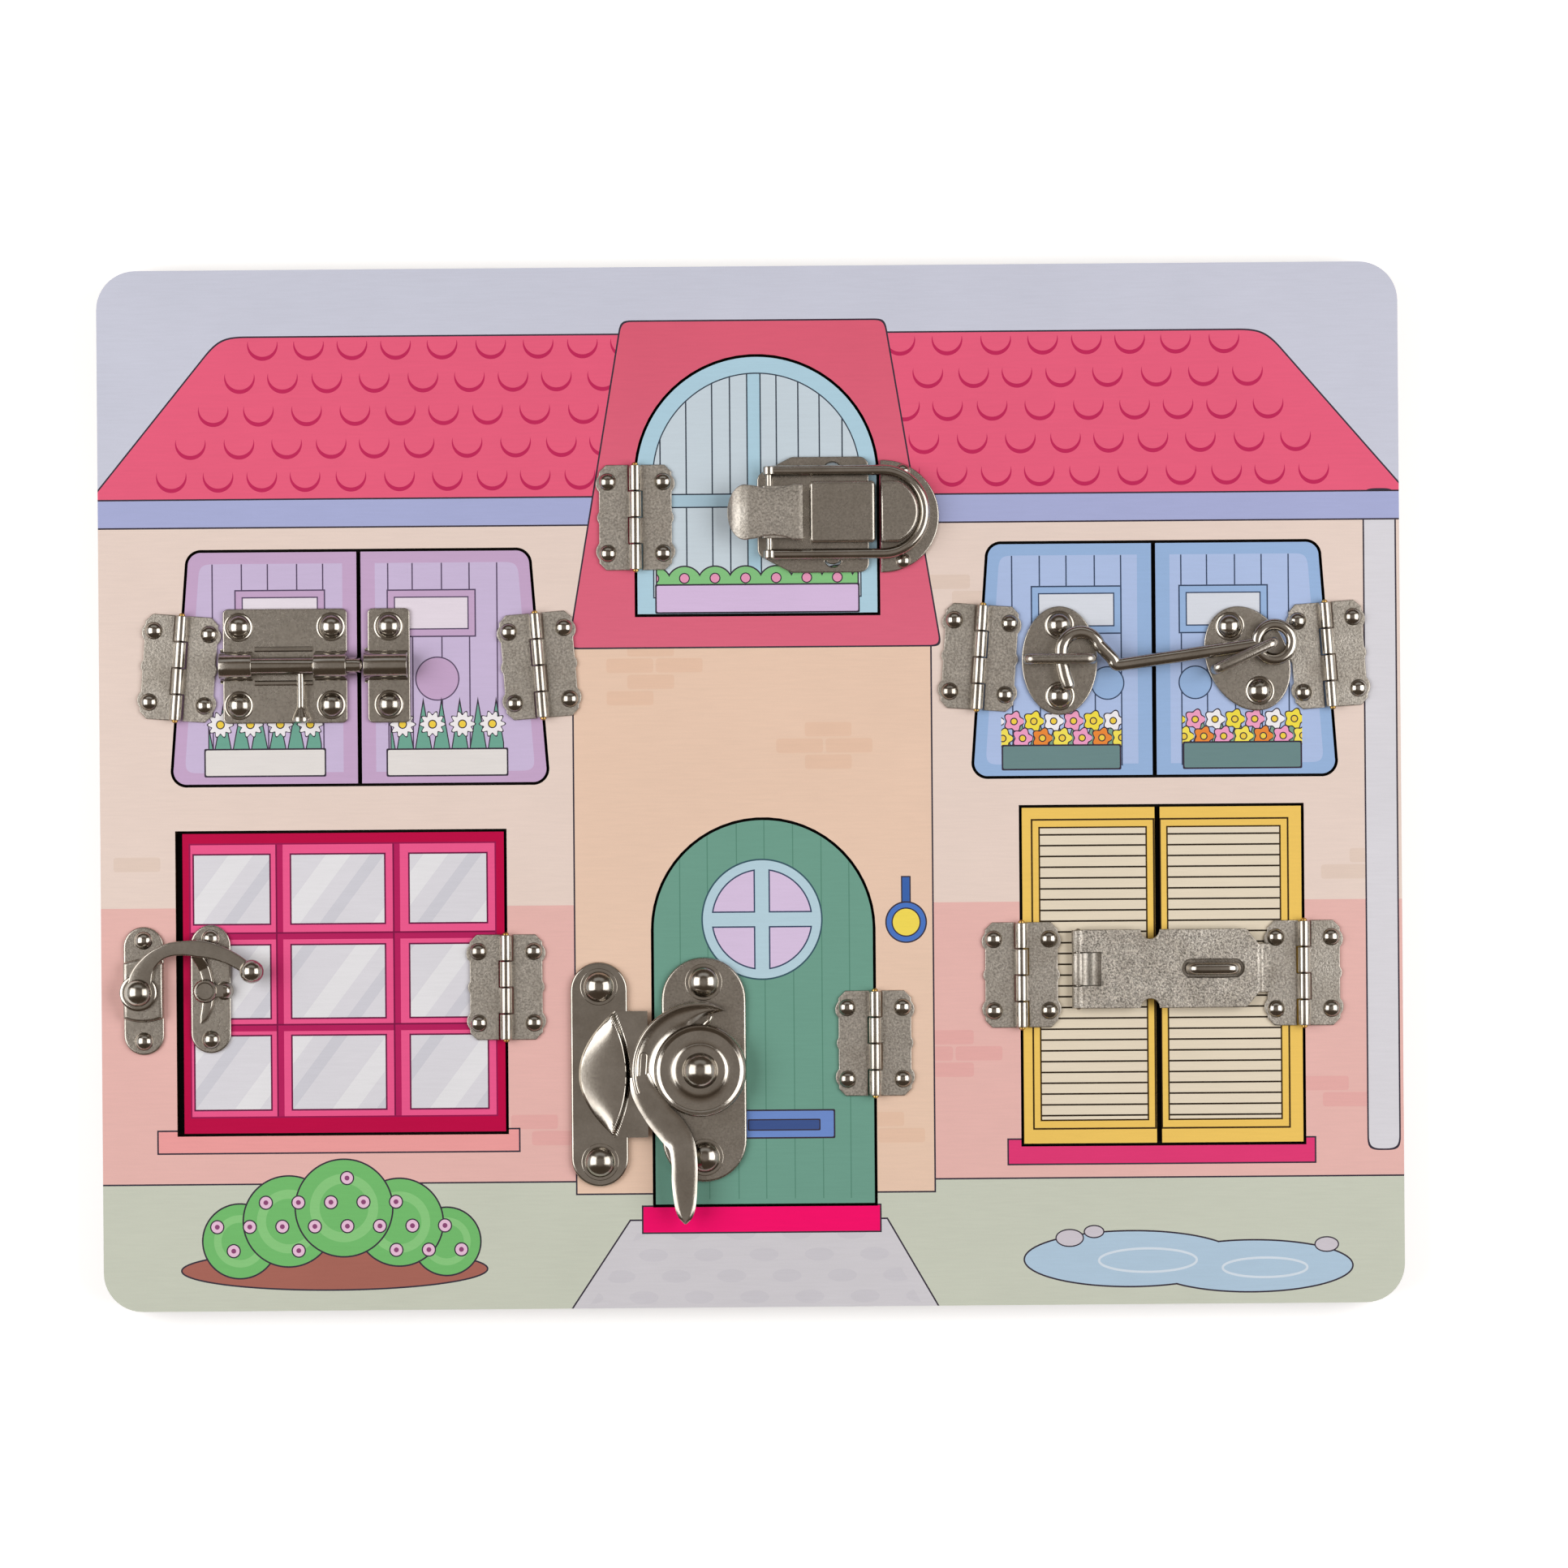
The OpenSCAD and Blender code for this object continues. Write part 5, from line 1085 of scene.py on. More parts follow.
def hinge_axes(joint):
    """A hinge's place and axes: its panel's side, up the house, and out of the face."""
    axis = np.array(joint["axis"], float)
    out = np.array([0.0, 0.0, 1.0])
    up = axis * np.sign(axis[1])
    origin = np.array(joint["pos_m"], float) * TO_MM * [1, 1, 0]
    return origin, np.cross(out, axis), up, out


# For each hinge's joint, the end of its pieces' names and the body of its panel.
PANEL_HINGES = {
    "attic_door_hinge": ("attic_door", "attic"),
    "lilac_left_hinge": ("lilac_left", "lilac_left"),
    "lilac_right_hinge": ("lilac_right", "lilac_right"),
    "blue_left_hinge": ("blue_left", "blue_left"),
    "blue_right_hinge": ("blue_right", "blue_right"),
    "window_hinge": ("pink_window", "window"),
    "front_door_hinge": ("front_door", "door"),
    "yellow_left_hinge": ("yellow_left", "yellow_left"),
    "yellow_right_hinge": ("yellow_right", "yellow_right"),
}


def mirrored(solid):
    """The same shape on the other side of its pin."""
    return placed(solid, x=(-1, 0, 0))


def make_hinges():
    """Nine butt hinges, each on its joint's axis."""
    frame_side, frame_rolls, pins = [], [], []
    pin_r = 0.95
    pin_end = dome_profile(pin_r, 0.45, LEAF_HALF + 0.3, 6)
    pin = revolve(np.concatenate([[[0, LEAF_HALF - 1], [pin_r, LEAF_HALF - 1]], pin_end]), 20)
    for name, (door, body) in PANEL_HINGES.items():
        origin, side, up, out = hinge_axes(joint_named(name))
        leaf = placed(leaf_solid(1), origin, side, up, out)
        make_piece("hinge_leaf_" + door, [leaf], "matt", body, "leaf_" + door)
        rolls = [placed(roll, origin, side, up, out) for roll in knuckle_solids(1)]
        make_piece("hinge_knuckles_" + door, rolls, "bright", body, "leaf_" + door)
        frame_side.append(placed(mirrored(leaf_solid(0)), origin, side, up, out))
        frame_rolls += [placed(roll, origin, side, up, out) for roll in knuckle_solids(0)]
        for end in (-1, 1):
            pins.append(placed(pin, origin + out * (FACE + PIN_UP), side, out, up * end))
    make_piece("hinge_leaves_on_frame", frame_side, "matt", "board", "hinge_leaves_frame")
    make_piece("hinge_knuckles_on_frame", frame_rolls, "bright", "board", "hinge_leaves_frame")
    make_piece("hinge_pin_ends", pins, "brass", "board", "hinge_pins")


def node_points(node):
    """A CAD node's points in millimetres."""
    mesh = frame["nodes"][node].data
    points = np.empty(len(mesh.vertices) * 3, np.float32)
    mesh.vertices.foreach_get("co", points)
    return points.reshape(-1, 3).astype(float) * TO_MM


def rivet_places(node):
    """Where a node's rivets stand: X, Y, the seat's height, the head's radius and its height. The rings at
    the shanks' feet give the middles. Of the points above the face that are nearest to one, the farthest
    give its head's radius, and the lowest of those its seat."""
    points = node_points(node)
    feet = points[points[:, 2] < points[:, 2].min() + 0.01][:, :2]
    first = (np.linalg.norm(feet[:, None] - feet[None], axis=2) < 3).argmax(axis=1)
    rings = [feet[first == ring] for ring in np.unique(first)]
    middles = np.array([(ring.min(axis=0) + ring.max(axis=0)) / 2 for ring in rings])
    above = points[points[:, 2] > FACE + 0.1]
    apart = np.linalg.norm(above[:, None, :2] - middles[None], axis=2)
    places = []
    for index, middle in enumerate(middles):
        mine = (apart.argmin(axis=1) == index) & (apart[:, index] < 6)
        head, reach = above[mine], apart[mine, index]
        seat = head[reach > reach.max() - 0.02, 2].min()
        places.append((*middle, seat, reach.max(), head[:, 2].max() - seat))
    return places


# From the first radius on a head is large, and up to the second it is spread by this share.
LARGE_HEAD, LARGEST_SPREAD, SPREAD = 3.2, 4.0, 1.09


def rivet_solid(x, y, seat, radius, height):
    """A rivet's head: a cap over a short upright rim. A large one spreads a little and stands in a shallow
    pressed ring."""
    large = radius > LARGE_HEAD
    if large and radius < LARGEST_SPREAD:
        radius *= SPREAD
    foot = seat - 0.05
    cap = dome_profile(radius, height * 0.94, seat + height * 0.06, 14)
    solids = [revolve(np.concatenate([[[0, foot], [radius, foot]], cap]), middle=(x, y))]
    if large:
        inner, outer = radius * 0.7, radius * 1.22
        ring = [[inner, foot], [outer, foot], [outer - 0.1, seat + 0.12], [outer - 0.35, seat + 0.2],
                [radius + 0.1, seat + 0.06], [inner, seat + 0.04]]
        solids.append(revolve(ring, middle=(x, y)))
    return solids


def make_rivets():
    """Domed rivets, where the CAD rivets stand."""
    bodies = {"frame_rivets": "board"}
    bodies.update({"rivets_" + door: body for door, body in PANEL_HINGES.values()})
    for node, body in bodies.items():
        solids = [solid for place in rivet_places(node) for solid in rivet_solid(*place)]
        make_piece("heads_of_" + node, solids, "bright", body, node)


# ---------------------------------------------------------------- Barrel bolt

# The line of the bolt's rod.
BOLT_Y, BOLT_Z = 38.2, 15.8


def bolt_sheet(left, right):
    """A plate with rounded corners and a soft edge."""
    return plate(rectangle(right - left, 35.2, 1.6, ((left + right) / 2, BOLT_Y)), FACE, FACE + 1, 0.35)


def bolt_arch(left, right, bore):
    """A bent band over the rod. In a section across the rod its outer edge runs from the plate up a small
    hollow curve, over a half circle and down again, and its inner edge is the rod's bore."""
    half, foot = 5.4, -3.3
    hollow = arc((half, -1.7), 1.4, 268, 180, 8)
    outside = np.concatenate([[[half, foot]], hollow, arc((0, 0), 4.0, 0, 180, 30)])
    far_side = np.concatenate([(hollow * [-1, 1])[::-1], [[-half, foot]]])
    inside = np.concatenate([[[-bore, foot]], arc((0, 0), bore, 180, 0, 24), [[bore, foot]]])
    band = plate(np.concatenate([outside, far_side, inside]), 0, right - left, 0.22)
    return placed(band, (left, BOLT_Y, BOLT_Z), **ALONG_X)


def rod_solid():
    """The rod: a shoulder, a thinner tip with a round end, and a rounded tail."""
    profile = [[0, -158.8], [2.2, -158.8], [2.75, -158.2], [2.75, -127.0], [2.4, -126.5], [2.5, -126.2],
               [2.5, -120.6], [2.3, -119.4], [1.6, -118.8], [0, -118.55]]
    return placed(revolve(profile, 36), (0, BOLT_Y, BOLT_Z), **ALONG_X)


def knob_solid():
    """The knob: a stem, a flare and a round-edged head, turned about the line from the rod down the
    house."""
    profile = [[0, 0.5], [1.15, 0.5], [1.15, 12.2], [1.35, 13.2], [2.5, 15.6], [2.7, 16.4], [2.55, 17.1],
               [1.9, 17.5], [0, 17.6]]
    return placed(revolve(profile, 32), (-137.65, BOLT_Y, BOLT_Z), **DOWN_Y)


def make_bolt():
    """The barrel bolt: its plate with two arches, the rod with its knob, and the keeper."""
    bands = [bolt_arch(-162.6, -152.6, 2.8), bolt_arch(-133.6, -123.6, 2.8)]
    for up in (-1, 1):
        ridge = [(x, BOLT_Y + up * 5.2, 13.1) for x in np.linspace(-152, -134.2, 12)]
        bands.append(strip(ridge, 0.8, 0.5, edge=0.45))
    barrel = bolt_arch(-118.2, -104.9, 2.75)
    make_piece("bolt_plate_dressed", [bolt_sheet(-161.8, -123.6)], "plate", "lilac_left", "bolt_plate")
    make_piece("bolt_arches", bands, "bright", "lilac_left", "bolt_plate")
    make_piece("bolt_rod_dressed", [rod_solid(), knob_solid()], "bright", "lilac_bolt", "bolt_rod")
    make_piece("bolt_keeper_dressed", [bolt_sheet(-117.3, -104.3)], "plate", "lilac_right", "bolt_keeper")
    make_piece("bolt_keeper_barrel", [barrel], "bright", "lilac_right", "bolt_keeper")


# ---------------------------------------------------------------- Toggle latch

# The latch's line across the house, its two pins' X and height, its walls' thickness, the wire's bend and
# the height of the cover's and the boss's top.
TOGGLE_Y = 84.0
LEVER_PIN = (14.25, 17.4)
BAIL_PIN = (6.45, 16.6)
WALL = 1.2
BEND_X = 41.3
TOGGLE_TOP = 19.2


def toggle_base_solids():
    """The base with its cut left corners and two half-moon slots, and the two ears that hold the lever's
    pin."""
    half = 17.8
    corners = [(2.75, -12.3), (13.25, -half), (37.05, -half), (37.05, half), (13.25, half), (2.75, 12.3)]
    middle_y = TOGGLE_Y - 0.6
    moon = np.concatenate([arc((0, 0), 2.7, 20, 160, 14), arc((0, -0.6), 2.5, 150, 30, 14)])
    holes = [moon * [1, up] + [25.9, middle_y + up * 13.4] for up in (-1, 1)]
    sheet = plate(rounded(np.array(corners) + [0, middle_y], 3.0), FACE, FACE + 1.2, 0.35, holes)
    foot = [[-0.85, 2.4], [-0.85, 0.8], [0.85, 0.8], [0.85, 2.4]]
    ear = plate(np.concatenate([arc((0, LEVER_PIN[1] - FACE), 1.95, -20, 200, 18), foot]), 0, WALL, 0.2)
    return [sheet, *both_walls(ear, (LEVER_PIN[0], FACE), 5.2)]


def both_walls(wall, place, half):
    """The same upright wall on both sides of the latch, at a place along X and Z."""
    return [placed(wall, (place[0], TOGGLE_Y + up * half - WALL / 2, place[1]), **ON_EDGE) for up in (-1, 1)]


def lever_solid():
    """The lever's top. Its half width runs from the round thumb end, which rolls downwards, through a waist
    to a wide straight end. The thumb end is half an ellipse."""
    x = np.linspace(-6.0, 16.6, 60)
    half = np.interp(x, [-1.0, 2.0, 5.0, 8.0, 11.0, 14.0, 16.6], [8.5, 8.1, 7.3, 7.1, 7.6, 8.5, 9.0])
    end = 8.5 * np.sqrt(np.clip(1 - ((-1.0 - x).clip(0) / 5.1) ** 2, 0.002, 1))
    half = np.minimum(half, end)
    drop = np.interp(x, [-6.0, -4.5, -2.5, 0.0, 3.0, 15.4, 16.6], [2.6, 1.45, 0.6, 0.1, 0.0, 0.0, 0.2])
    path = np.column_stack([x, np.full_like(x, TOGGLE_Y), 20.2 - drop])
    return strip(path, half, 0.6, edge=0.4)


def lever_flanges():
    """The lever's two side walls, which hold both pins."""
    outline = rounded([(4.2, 15.2), (15.8, 15.2), (16.5, 18.0), (16.5, 20.0), (4.4, 20.0)], 0.8)
    return both_walls(plate(outline, 0, WALL, 0.15), (0, 0), 7.4)


def cross_pin(place, half):
    """A pin across the latch with rounded ends."""
    radius = 0.95
    ends = (TOGGLE_Y - half + radius, TOGGLE_Y, TOGGLE_Y + half - radius)
    return tube([(place[0], y, place[1]) for y in ends], radius, sides=24)


def bail_solids():
    """The wire: along one arm, round a half circle and back along the other, with an eye at each end."""
    half, (eye_x, z) = 12.8, BAIL_PIN
    arm = np.column_stack([np.linspace(7.6, BEND_X, 24), np.full(24, -half)])
    bend = arc((BEND_X, 0), half, -90, 90, 40)
    plan = np.concatenate([arm[:-1], bend, (arm * [1, -1])[::-1][1:]]) + [0, TOGGLE_Y]
    wire = tube(at_height(plan, z), 1.3, sides=24, flat=(1.22, 1))
    eye = revolve([[0, -1.3], [1.6, -1.3], [1.85, -1.0], [1.85, 1.0], [1.6, 1.3], [0, 1.3]], 28)
    return [wire] + [placed(eye, (eye_x, TOGGLE_Y + up * half, z), **ALONG_Y) for up in (-1, 1)]


def strike_solids():
    """The round strike plate, and on it the boss, flat towards the door and round on the other side."""
    flat, radius = 40.65, 17.3
    half = math.degrees(math.acos((flat - BEND_X) / radius))
    disc = arc((BEND_X, TOGGLE_Y - 1.2), radius, -half, half, 72)
    flat_side = [[flat, TOGGLE_Y + 9.35], [flat, TOGGLE_Y - 9.35]]
    boss = np.concatenate([arc((41.95, TOGGLE_Y), 10.2, -67, 67, 40), flat_side])
    return [plate(disc, FACE, FACE + 1.2, 0.4), plate(boss, FACE + 1, TOGGLE_TOP, 0.9, steps=6)]


def make_toggle():
    """The toggle latch: base, cover, lever, wire bail, their pins and the strike."""
    cover = plate(rectangle(20, 18.8, 1.2, (28.85, TOGGLE_Y)), FACE + 1.2, TOGGLE_TOP, 0.9, steps=6)
    lever = [lever_solid(), *lever_flanges()]
    make_piece("toggle_base_dressed", toggle_base_solids(), "plate", "attic", "toggle_base")
    make_piece("toggle_cover_dressed", [cover], "plate", "attic", "toggle_cover")
    make_piece("toggle_lever_dressed", lever, "matt", "toggle_lever", "toggle_lever")
    make_piece("lever_pin_dressed", [cross_pin(LEVER_PIN, 8.5)], "bright", "attic", "toggle_lever_pin")
    make_piece("bail_pin_dressed", [cross_pin(BAIL_PIN, 14.1)], "bright", "toggle_lever", "toggle_bail_pin")
    make_piece("bail_dressed", bail_solids(), "bright", "toggle_bail", "toggle_bail")
    make_piece("strike_dressed", strike_solids(), "plate", "board", "toggle_strike")


# ---------------------------------------------------------------- Cabin hook

# Half the length of a bridge and the radius of its wire, the radius of the hook's wire, of its eye and of
# its crook, and how far the right plate is turned.
BRIDGE_HALF = 10.1
BRIDGE_WIRE = 1.15
HOOK_WIRE = 1.45
EYE = 5.35
CROOK = 5.9
RIGHT_TURN = 24.5


def hook_plate(side, place, turn, wider, shift, bridge_z):
    """An oval plate, and a bar that stands over it on two legs with round bends. The plate reaches further
    to its right by one amount, and the bar stands off its middle line by another."""
    sheet = plate(oval(23.3 + wider, 33.4, (place[0] + wider / 2, place[1]), turn), FACE, FACE + 1, 0.35)
    bend = 2.2
    corner = arc((bend - BRIDGE_HALF, bridge_z - bend), bend, 180, 90, 8)
    half = np.concatenate([[[-BRIDGE_HALF, FACE + 0.8]], corner])
    plan = np.concatenate([half, (half * [-1, 1])[::-1]])
    path = np.column_stack([plan[:, 0], np.full(len(plan), shift), plan[:, 1]])
    bar = tube(path, BRIDGE_WIRE, up=(0, 1, 0), flat=(1, 1.39))
    node = "hook_plate_" + side
    make_piece(node + "_dressed", [sheet, turned(bar, (*place, 0), turn)], "plate", "blue_" + side, node)


def hook_plan(left, eye):
    """The hook's line from above: a straight shank from the eye, a round corner, a round crook and a tip
    under the left bridge."""
    crook = np.array([left + 0.4 + CROOK, 40.7])
    corner = crook + [11.5, -4.3]
    along = unit(corner - eye)
    before = corner - along * 3.0
    shank = np.linspace(eye + along * EYE, before, 24)
    rise = smooth_path([before, corner + [-0.6, 0.15], corner + [-1.9, 2.1], crook + [5.4, 2.1]], 14)
    tail = crook + [[-5.9, -1.5], [-5.55, -4.4], [-4.9, -7.4], [-3.9, -10.4]]
    return np.concatenate([shank[:-1], rise, arc(crook, CROOK, 24, 180, 24), tail])


def make_hook():
    """The cabin hook: two oval plates with their bridges, and the hook, whose eye stands on its joint."""
    low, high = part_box("hook_plate_left")
    left = TO_MM * (low.x + high.x) / 2
    bridge_z = TO_MM * high.z - BRIDGE_WIRE
    eye = np.array(joint_named("hook_pivot")["pos_m"], float) * TO_MM
    c, s = math.cos(math.radians(RIGHT_TURN)), math.sin(math.radians(RIGHT_TURN))
    right = eye[:2] - [BRIDGE_HALF * c - 0.8 * s, BRIDGE_HALF * s + 0.8 * c]
    hook_plate("left", (left, 38.0), 0, 0.0, 0.4, bridge_z)
    hook_plate("right", right, RIGHT_TURN, 1.7, 0.8, bridge_z)
    ring = tube(at_height(arc(eye[:2], EYE, 0, 360, 49), eye[2]), HOOK_WIRE, sides=24, flat=(1.24, 1))
    hook = tube(at_height(hook_plan(left, eye[:2]), eye[2]), HOOK_WIRE, sides=24, flat=(1.38, 1))
    make_piece("cabin_hook_dressed", [ring, hook], "bright", "blue_hook", "cabin_hook")


# ---------------------------------------------------------------- Swing clasp

# The clasp's pivot, its stud, and the size of its two plates.
CLASP = np.array([-188.2, -61.7])
STUD = CLASP + [20.4, 0.3]
CLASP_PLATE = (12.4, 39.4)


def clasp_plate_solids():
    """The frame plate: two flat ends and a raised middle that stands on short walls."""
    middle = (-186.9, -61.3)
    ends = plate(obround(*CLASP_PLATE, middle), FACE, FACE + 1, 0.5)
    lower = arc((0, 5.8), 15.4, -113.5, -66.5, 14)
    upper = arc((0, -5.5), 15.4, 66.5, 113.5, 14)
    raised = plate(np.concatenate([lower, upper]) + middle, FACE + 0.2, FACE + 3.2, 1.1, steps=7)
    return [ends, raised]


def clasp_arm_solids():
    """The arm: a round head on the pivot, a flat bar along two arcs with a ball at its end, and below it
    the spur that passes under the stud."""
    head = revolve([(0, 15.55), (5.4, 15.55), (5.65, 15.8), (5.65, 16.8), (5.3, 17.08), (4.7, 17.12),
                    (0, 17.1)], 48, CLASP)
    plan = np.concatenate([arc((12.7, 1.2), 12.3, 176, 94, 26), arc((15.2, -15.3), 28.9, 93, 51, 26)]) + CLASP
    half = np.interp(np.linspace(0, 1, len(plan)), [0, 0.08, 0.2, 0.35, 0.5, 0.62, 0.75, 0.9, 1],
                     [3.9, 3.5, 2.6, 2.1, 2.2, 2.7, 2.4, 2.1, 1.9])
    bar = strip(at_height(plan, 16.35), half, 0.8, edge=0.55, steps=5)
    upper = dome_profile(3.7, 3.69)
    ball = np.concatenate([upper[::-1] * [1, -1], upper]) + [0, 16.95]
    ball = revolve(ball, middle=CLASP + [34.9, 6.3])
    turn = np.linspace(-27, 33, 34)
    height = np.interp(turn, [-27, 20, 27, 33], [13.9, 13.9, 15.4, 16.2])
    spur_half = np.interp(turn, [-27, -22, -12, 33], [0.3, 1.2, 1.7, 1.7])
    spur = strip(at_height(arc(CLASP, 21.2, -27, 33, 34), height), spur_half, 0.6, edge=0.58, steps=5)
    return [head, bar, ball, spur]


def clasp_catch_solids():
    """The catch plate, and the stud whose flat round head hangs over the spur from a cone beside it."""
    sheet = plate(obround(*CLASP_PLATE, (-166.3, -60.9)), FACE, FACE + 1, 0.5)
    head = revolve([[0, 14.9], [3.4, 14.9], [3.7, 15.3], [3.6, 16.0], [3.2, 16.45], [2.8, 16.5], [2.4, 16.1],
                    [0, 16.0]], middle=STUD)
    cone = revolve([[0, 12.9], [2.9, 12.9], [2.75, 13.6], [2.1, 15.0], [1.2, 15.6], [0, 15.7]], 32,
                   STUD + [5.65, 0])
    neck_line = [(*(STUD + [x, 0]), z) for x, z in ((0.6, 15.35), (2.6, 15.35), (5.6, 15.3))]
    return sheet, [head, cone, strip(neck_line, 2.0, 0.42, edge=0.4)]


def make_clasp():
    """The swing clasp: frame plate, pivot, arm and catch."""
    shank = [(0, 12), (1.5, 12), (1.5, 17.0), (4.2, 17.15)]
    pivot = revolve(np.concatenate([shank, dome_profile(4.2, 2.6, 17.3, 14)]), middle=CLASP)
    sheet, stud = clasp_catch_solids()
    make_piece("clasp_plate_dressed", clasp_plate_solids(), "plate", "board", "clasp_plate")
    make_piece("clasp_pivot_dressed", [pivot], "bright", "board", "clasp_pivot")
    make_piece("clasp_arm_dressed", clasp_arm_solids(), "bright", "clasp_arm", "clasp_arm")
    make_piece("clasp_catch_dressed", [sheet], "plate", "window", "clasp_catch")
    make_piece("clasp_stud", stud, "bright", "window", "clasp_catch")


# ---------------------------------------------------------------- Sash lock

# The cam's pivot, the keeper's middle, and the height of both plates.
SASH = np.array([-16.1, -86.8])
KEEPER = np.array([-47.1, -88.0])
SASH_PLATE = 69


def keeper_solids():
    """The keeper: an obround plate and a bowed tongue. The tongue leaves the plate along a hollow line, x =
    11 times the square of the place across. Its height is the crest's less 1.9 times the share of the way
    that is left to the power 1.6. Over its first 0.8 a lip rises to that, and behind the crest it drops
    over 1.4 by the smooth step 3 t squared less 2 t cubed."""
    sheet = plate(obround(17.6, SASH_PLATE, KEEPER), FACE, FACE + 1.5, 0.7, steps=6)
    low, high = FACE + 1.2, 16.3
    across = np.linspace(-1, 1, 61)[None]
    share = np.linspace(0, 1, 81)[:, None]
    left = -53.6 + 11.0 * across ** 2
    crest = -39.0 - 5.0 * across ** 2
    x = left + (-32.2 - left) * share
    ramp = high - 1.9 * (1 - np.clip((x - left) / (crest - left), 0, 1)) ** 1.6
    lip = np.clip((x - left) / 0.8, 0, 1)
    drop = np.clip((x - crest) / 1.4, 0, 1)
    z = low + (ramp - low) * lip
    z = z + (14.3 - z) * drop ** 2 * (3 - 2 * drop)
    top = np.dstack([x, np.broadcast_to(KEEPER[1] + 19.4 * across, x.shape), z])
    return [sheet, shell(top, 1.0)]


def cam_solids():
    """The cam: a stepped hub, a channel round it that narrows to a point at the top, and an S-shaped handle
    below. The channel widens from its tip with the power 0.7 of the degrees over 40. Its outer edge turns
    in at the tip by 0.4 times e to the minus square of the degrees over 12, and its floor sags by a sine
    from the rim to the hub."""
    hub = revolve([(0, 13.6), (14.0, 13.6), (14.25, 14.6), (14.2, 17.5), (14.0, 18.0), (13.6, 18.3),
                   (13.1, 18.25), (12.5, 17.8), (12.0, 17.7), (8.6, 18.1), (8.1, 18.3), (7.7, 18.5),
                   (6.4, 18.55), (0, 18.55)], 72, SASH)
    degrees = np.linspace(66, 200, 60)
    around = np.column_stack([np.cos(np.radians(degrees)), np.sin(np.radians(degrees))])
    from_tip = degrees - 66
    outer = 21.0 - 0.4 * np.exp(-(from_tip / 12) ** 2)
    grown = np.clip(from_tip / 40, 0.05, 1) ** 0.7
    wall, rim_z = 0.75, 17.0
    line = at_height(SASH + (outer - wall)[:, None] * around, rim_z)
    half, half_up = wall * np.clip(grown * 2, 0.3, 1), 1.5 * np.clip(grown * 1.5, 0.5, 1)
    rim = strip(line, half, half_up, edge=0.7, steps=6)
    inner = np.maximum(13.6, outer - 7.4 * grown)
    share = np.linspace(0, 1, 9)
    radius = inner[:, None] + (outer - 0.5 - inner)[:, None] * share
    floor = np.broadcast_to(rim_z - 0.9 * np.sin(np.pi * share), radius.shape)
    web = np.dstack([SASH + radius[..., None] * around[:, None], floor])
    return [hub, rim, shell(web, 0.9), *handle_solids()]


def handle_solids():
    """The handle: a bar that leaves the channel, bends down and ends round like a spoon. Its crown is 1
    less the share across to the power 2.5. With it come the curl at the channel's tip and its small raised
    bead."""
    # Each knot's place from the pivot, and the bar's half width there.
    knots = [(-18.6, -1.5, 3.0), (-17.2, -6.5, 3.9), (-13.2, -13.0, 4.3), (-8.8, -18.2, 4.6),
             (-5.9, -22.6, 4.1), (-5.0, -28.0, 3.95), (-5.0, -34.0, 3.9), (-4.85, -40.5, 3.35),
             (-4.8, -44.6, 2.3), (-4.85, -46.9, 0.4)]
    steps = 90
    curve = smooth_path(knots, steps)
    plan, half = curve[:, :2] + SASH, np.maximum(curve[:, 2:], 0.3)
    height = np.interp(np.linspace(0, 9, steps), [0, 2, 4, 5, 9], [16.6, 17.3, 18.6, 19.0, 18.6])
    side = unit(np.gradient(plan, axis=0))[:, ::-1] * [1, -1]
    across = np.linspace(-1, 1, 15)
    crown = 0.55 * (1 - np.abs(across) ** 2.5)
    top = np.dstack([plan[:, None] + (half * across)[..., None] * side[:, None], height[:, None] + crown])
    curl = [(*(SASH + [x, y]), z) for x, y, z in ((1.6, 14.2, 18.5), (2.6, 15.0, 18.8), (3.3, 16.4, 18.5))]
    bead = turned(plate(obround(2.6, 13.0), 15.6, 17.0, 0.6), (*(SASH - [17.6, 0.8]), 0), -4)
    return [shell(top, 1.0), tube(curl, 0.8), bead]


def make_sash():
    """The sash lock: base, cam, pivot and keeper."""
    base = plate(obround(26, SASH_PLATE, SASH + [1.2, 0]), FACE, FACE + 1.5, 0.75, steps=6)
    shank = [(0, 12.5), (2.5, 12.5), (2.5, 18.4), (5.4, 18.5)]
    pivot = revolve(np.concatenate([shank, dome_profile(5.5, 3.4, 18.7, 16)]), 48, SASH)
    make_piece("sash_base_dressed", [base], "plate", "door", "sash_base")
    make_piece("sash_cam_dressed", cam_solids(), "bright", "sash_cam", "sash_cam")
    make_piece("sash_pivot_dressed", [pivot], "bright", "door", "sash_pivot")
    make_piece("sash_keeper_dressed", keeper_solids(), "bright", "board", "sash_keeper")


# ---------------------------------------------------------------- Hasp

# The middle of the hasp's pin, its height over the face, and how far to its right the staple stands.
HASP = np.array([100.2, -56.8])
HASP_PIN_UP = 2.05
STAPLE = 41.3
# Half the strap's width, and half the gap between its two knuckles, where the leaf's own knuckle stands.
STRAP_HALF = 12.1
ROLL_HALF = 5.1


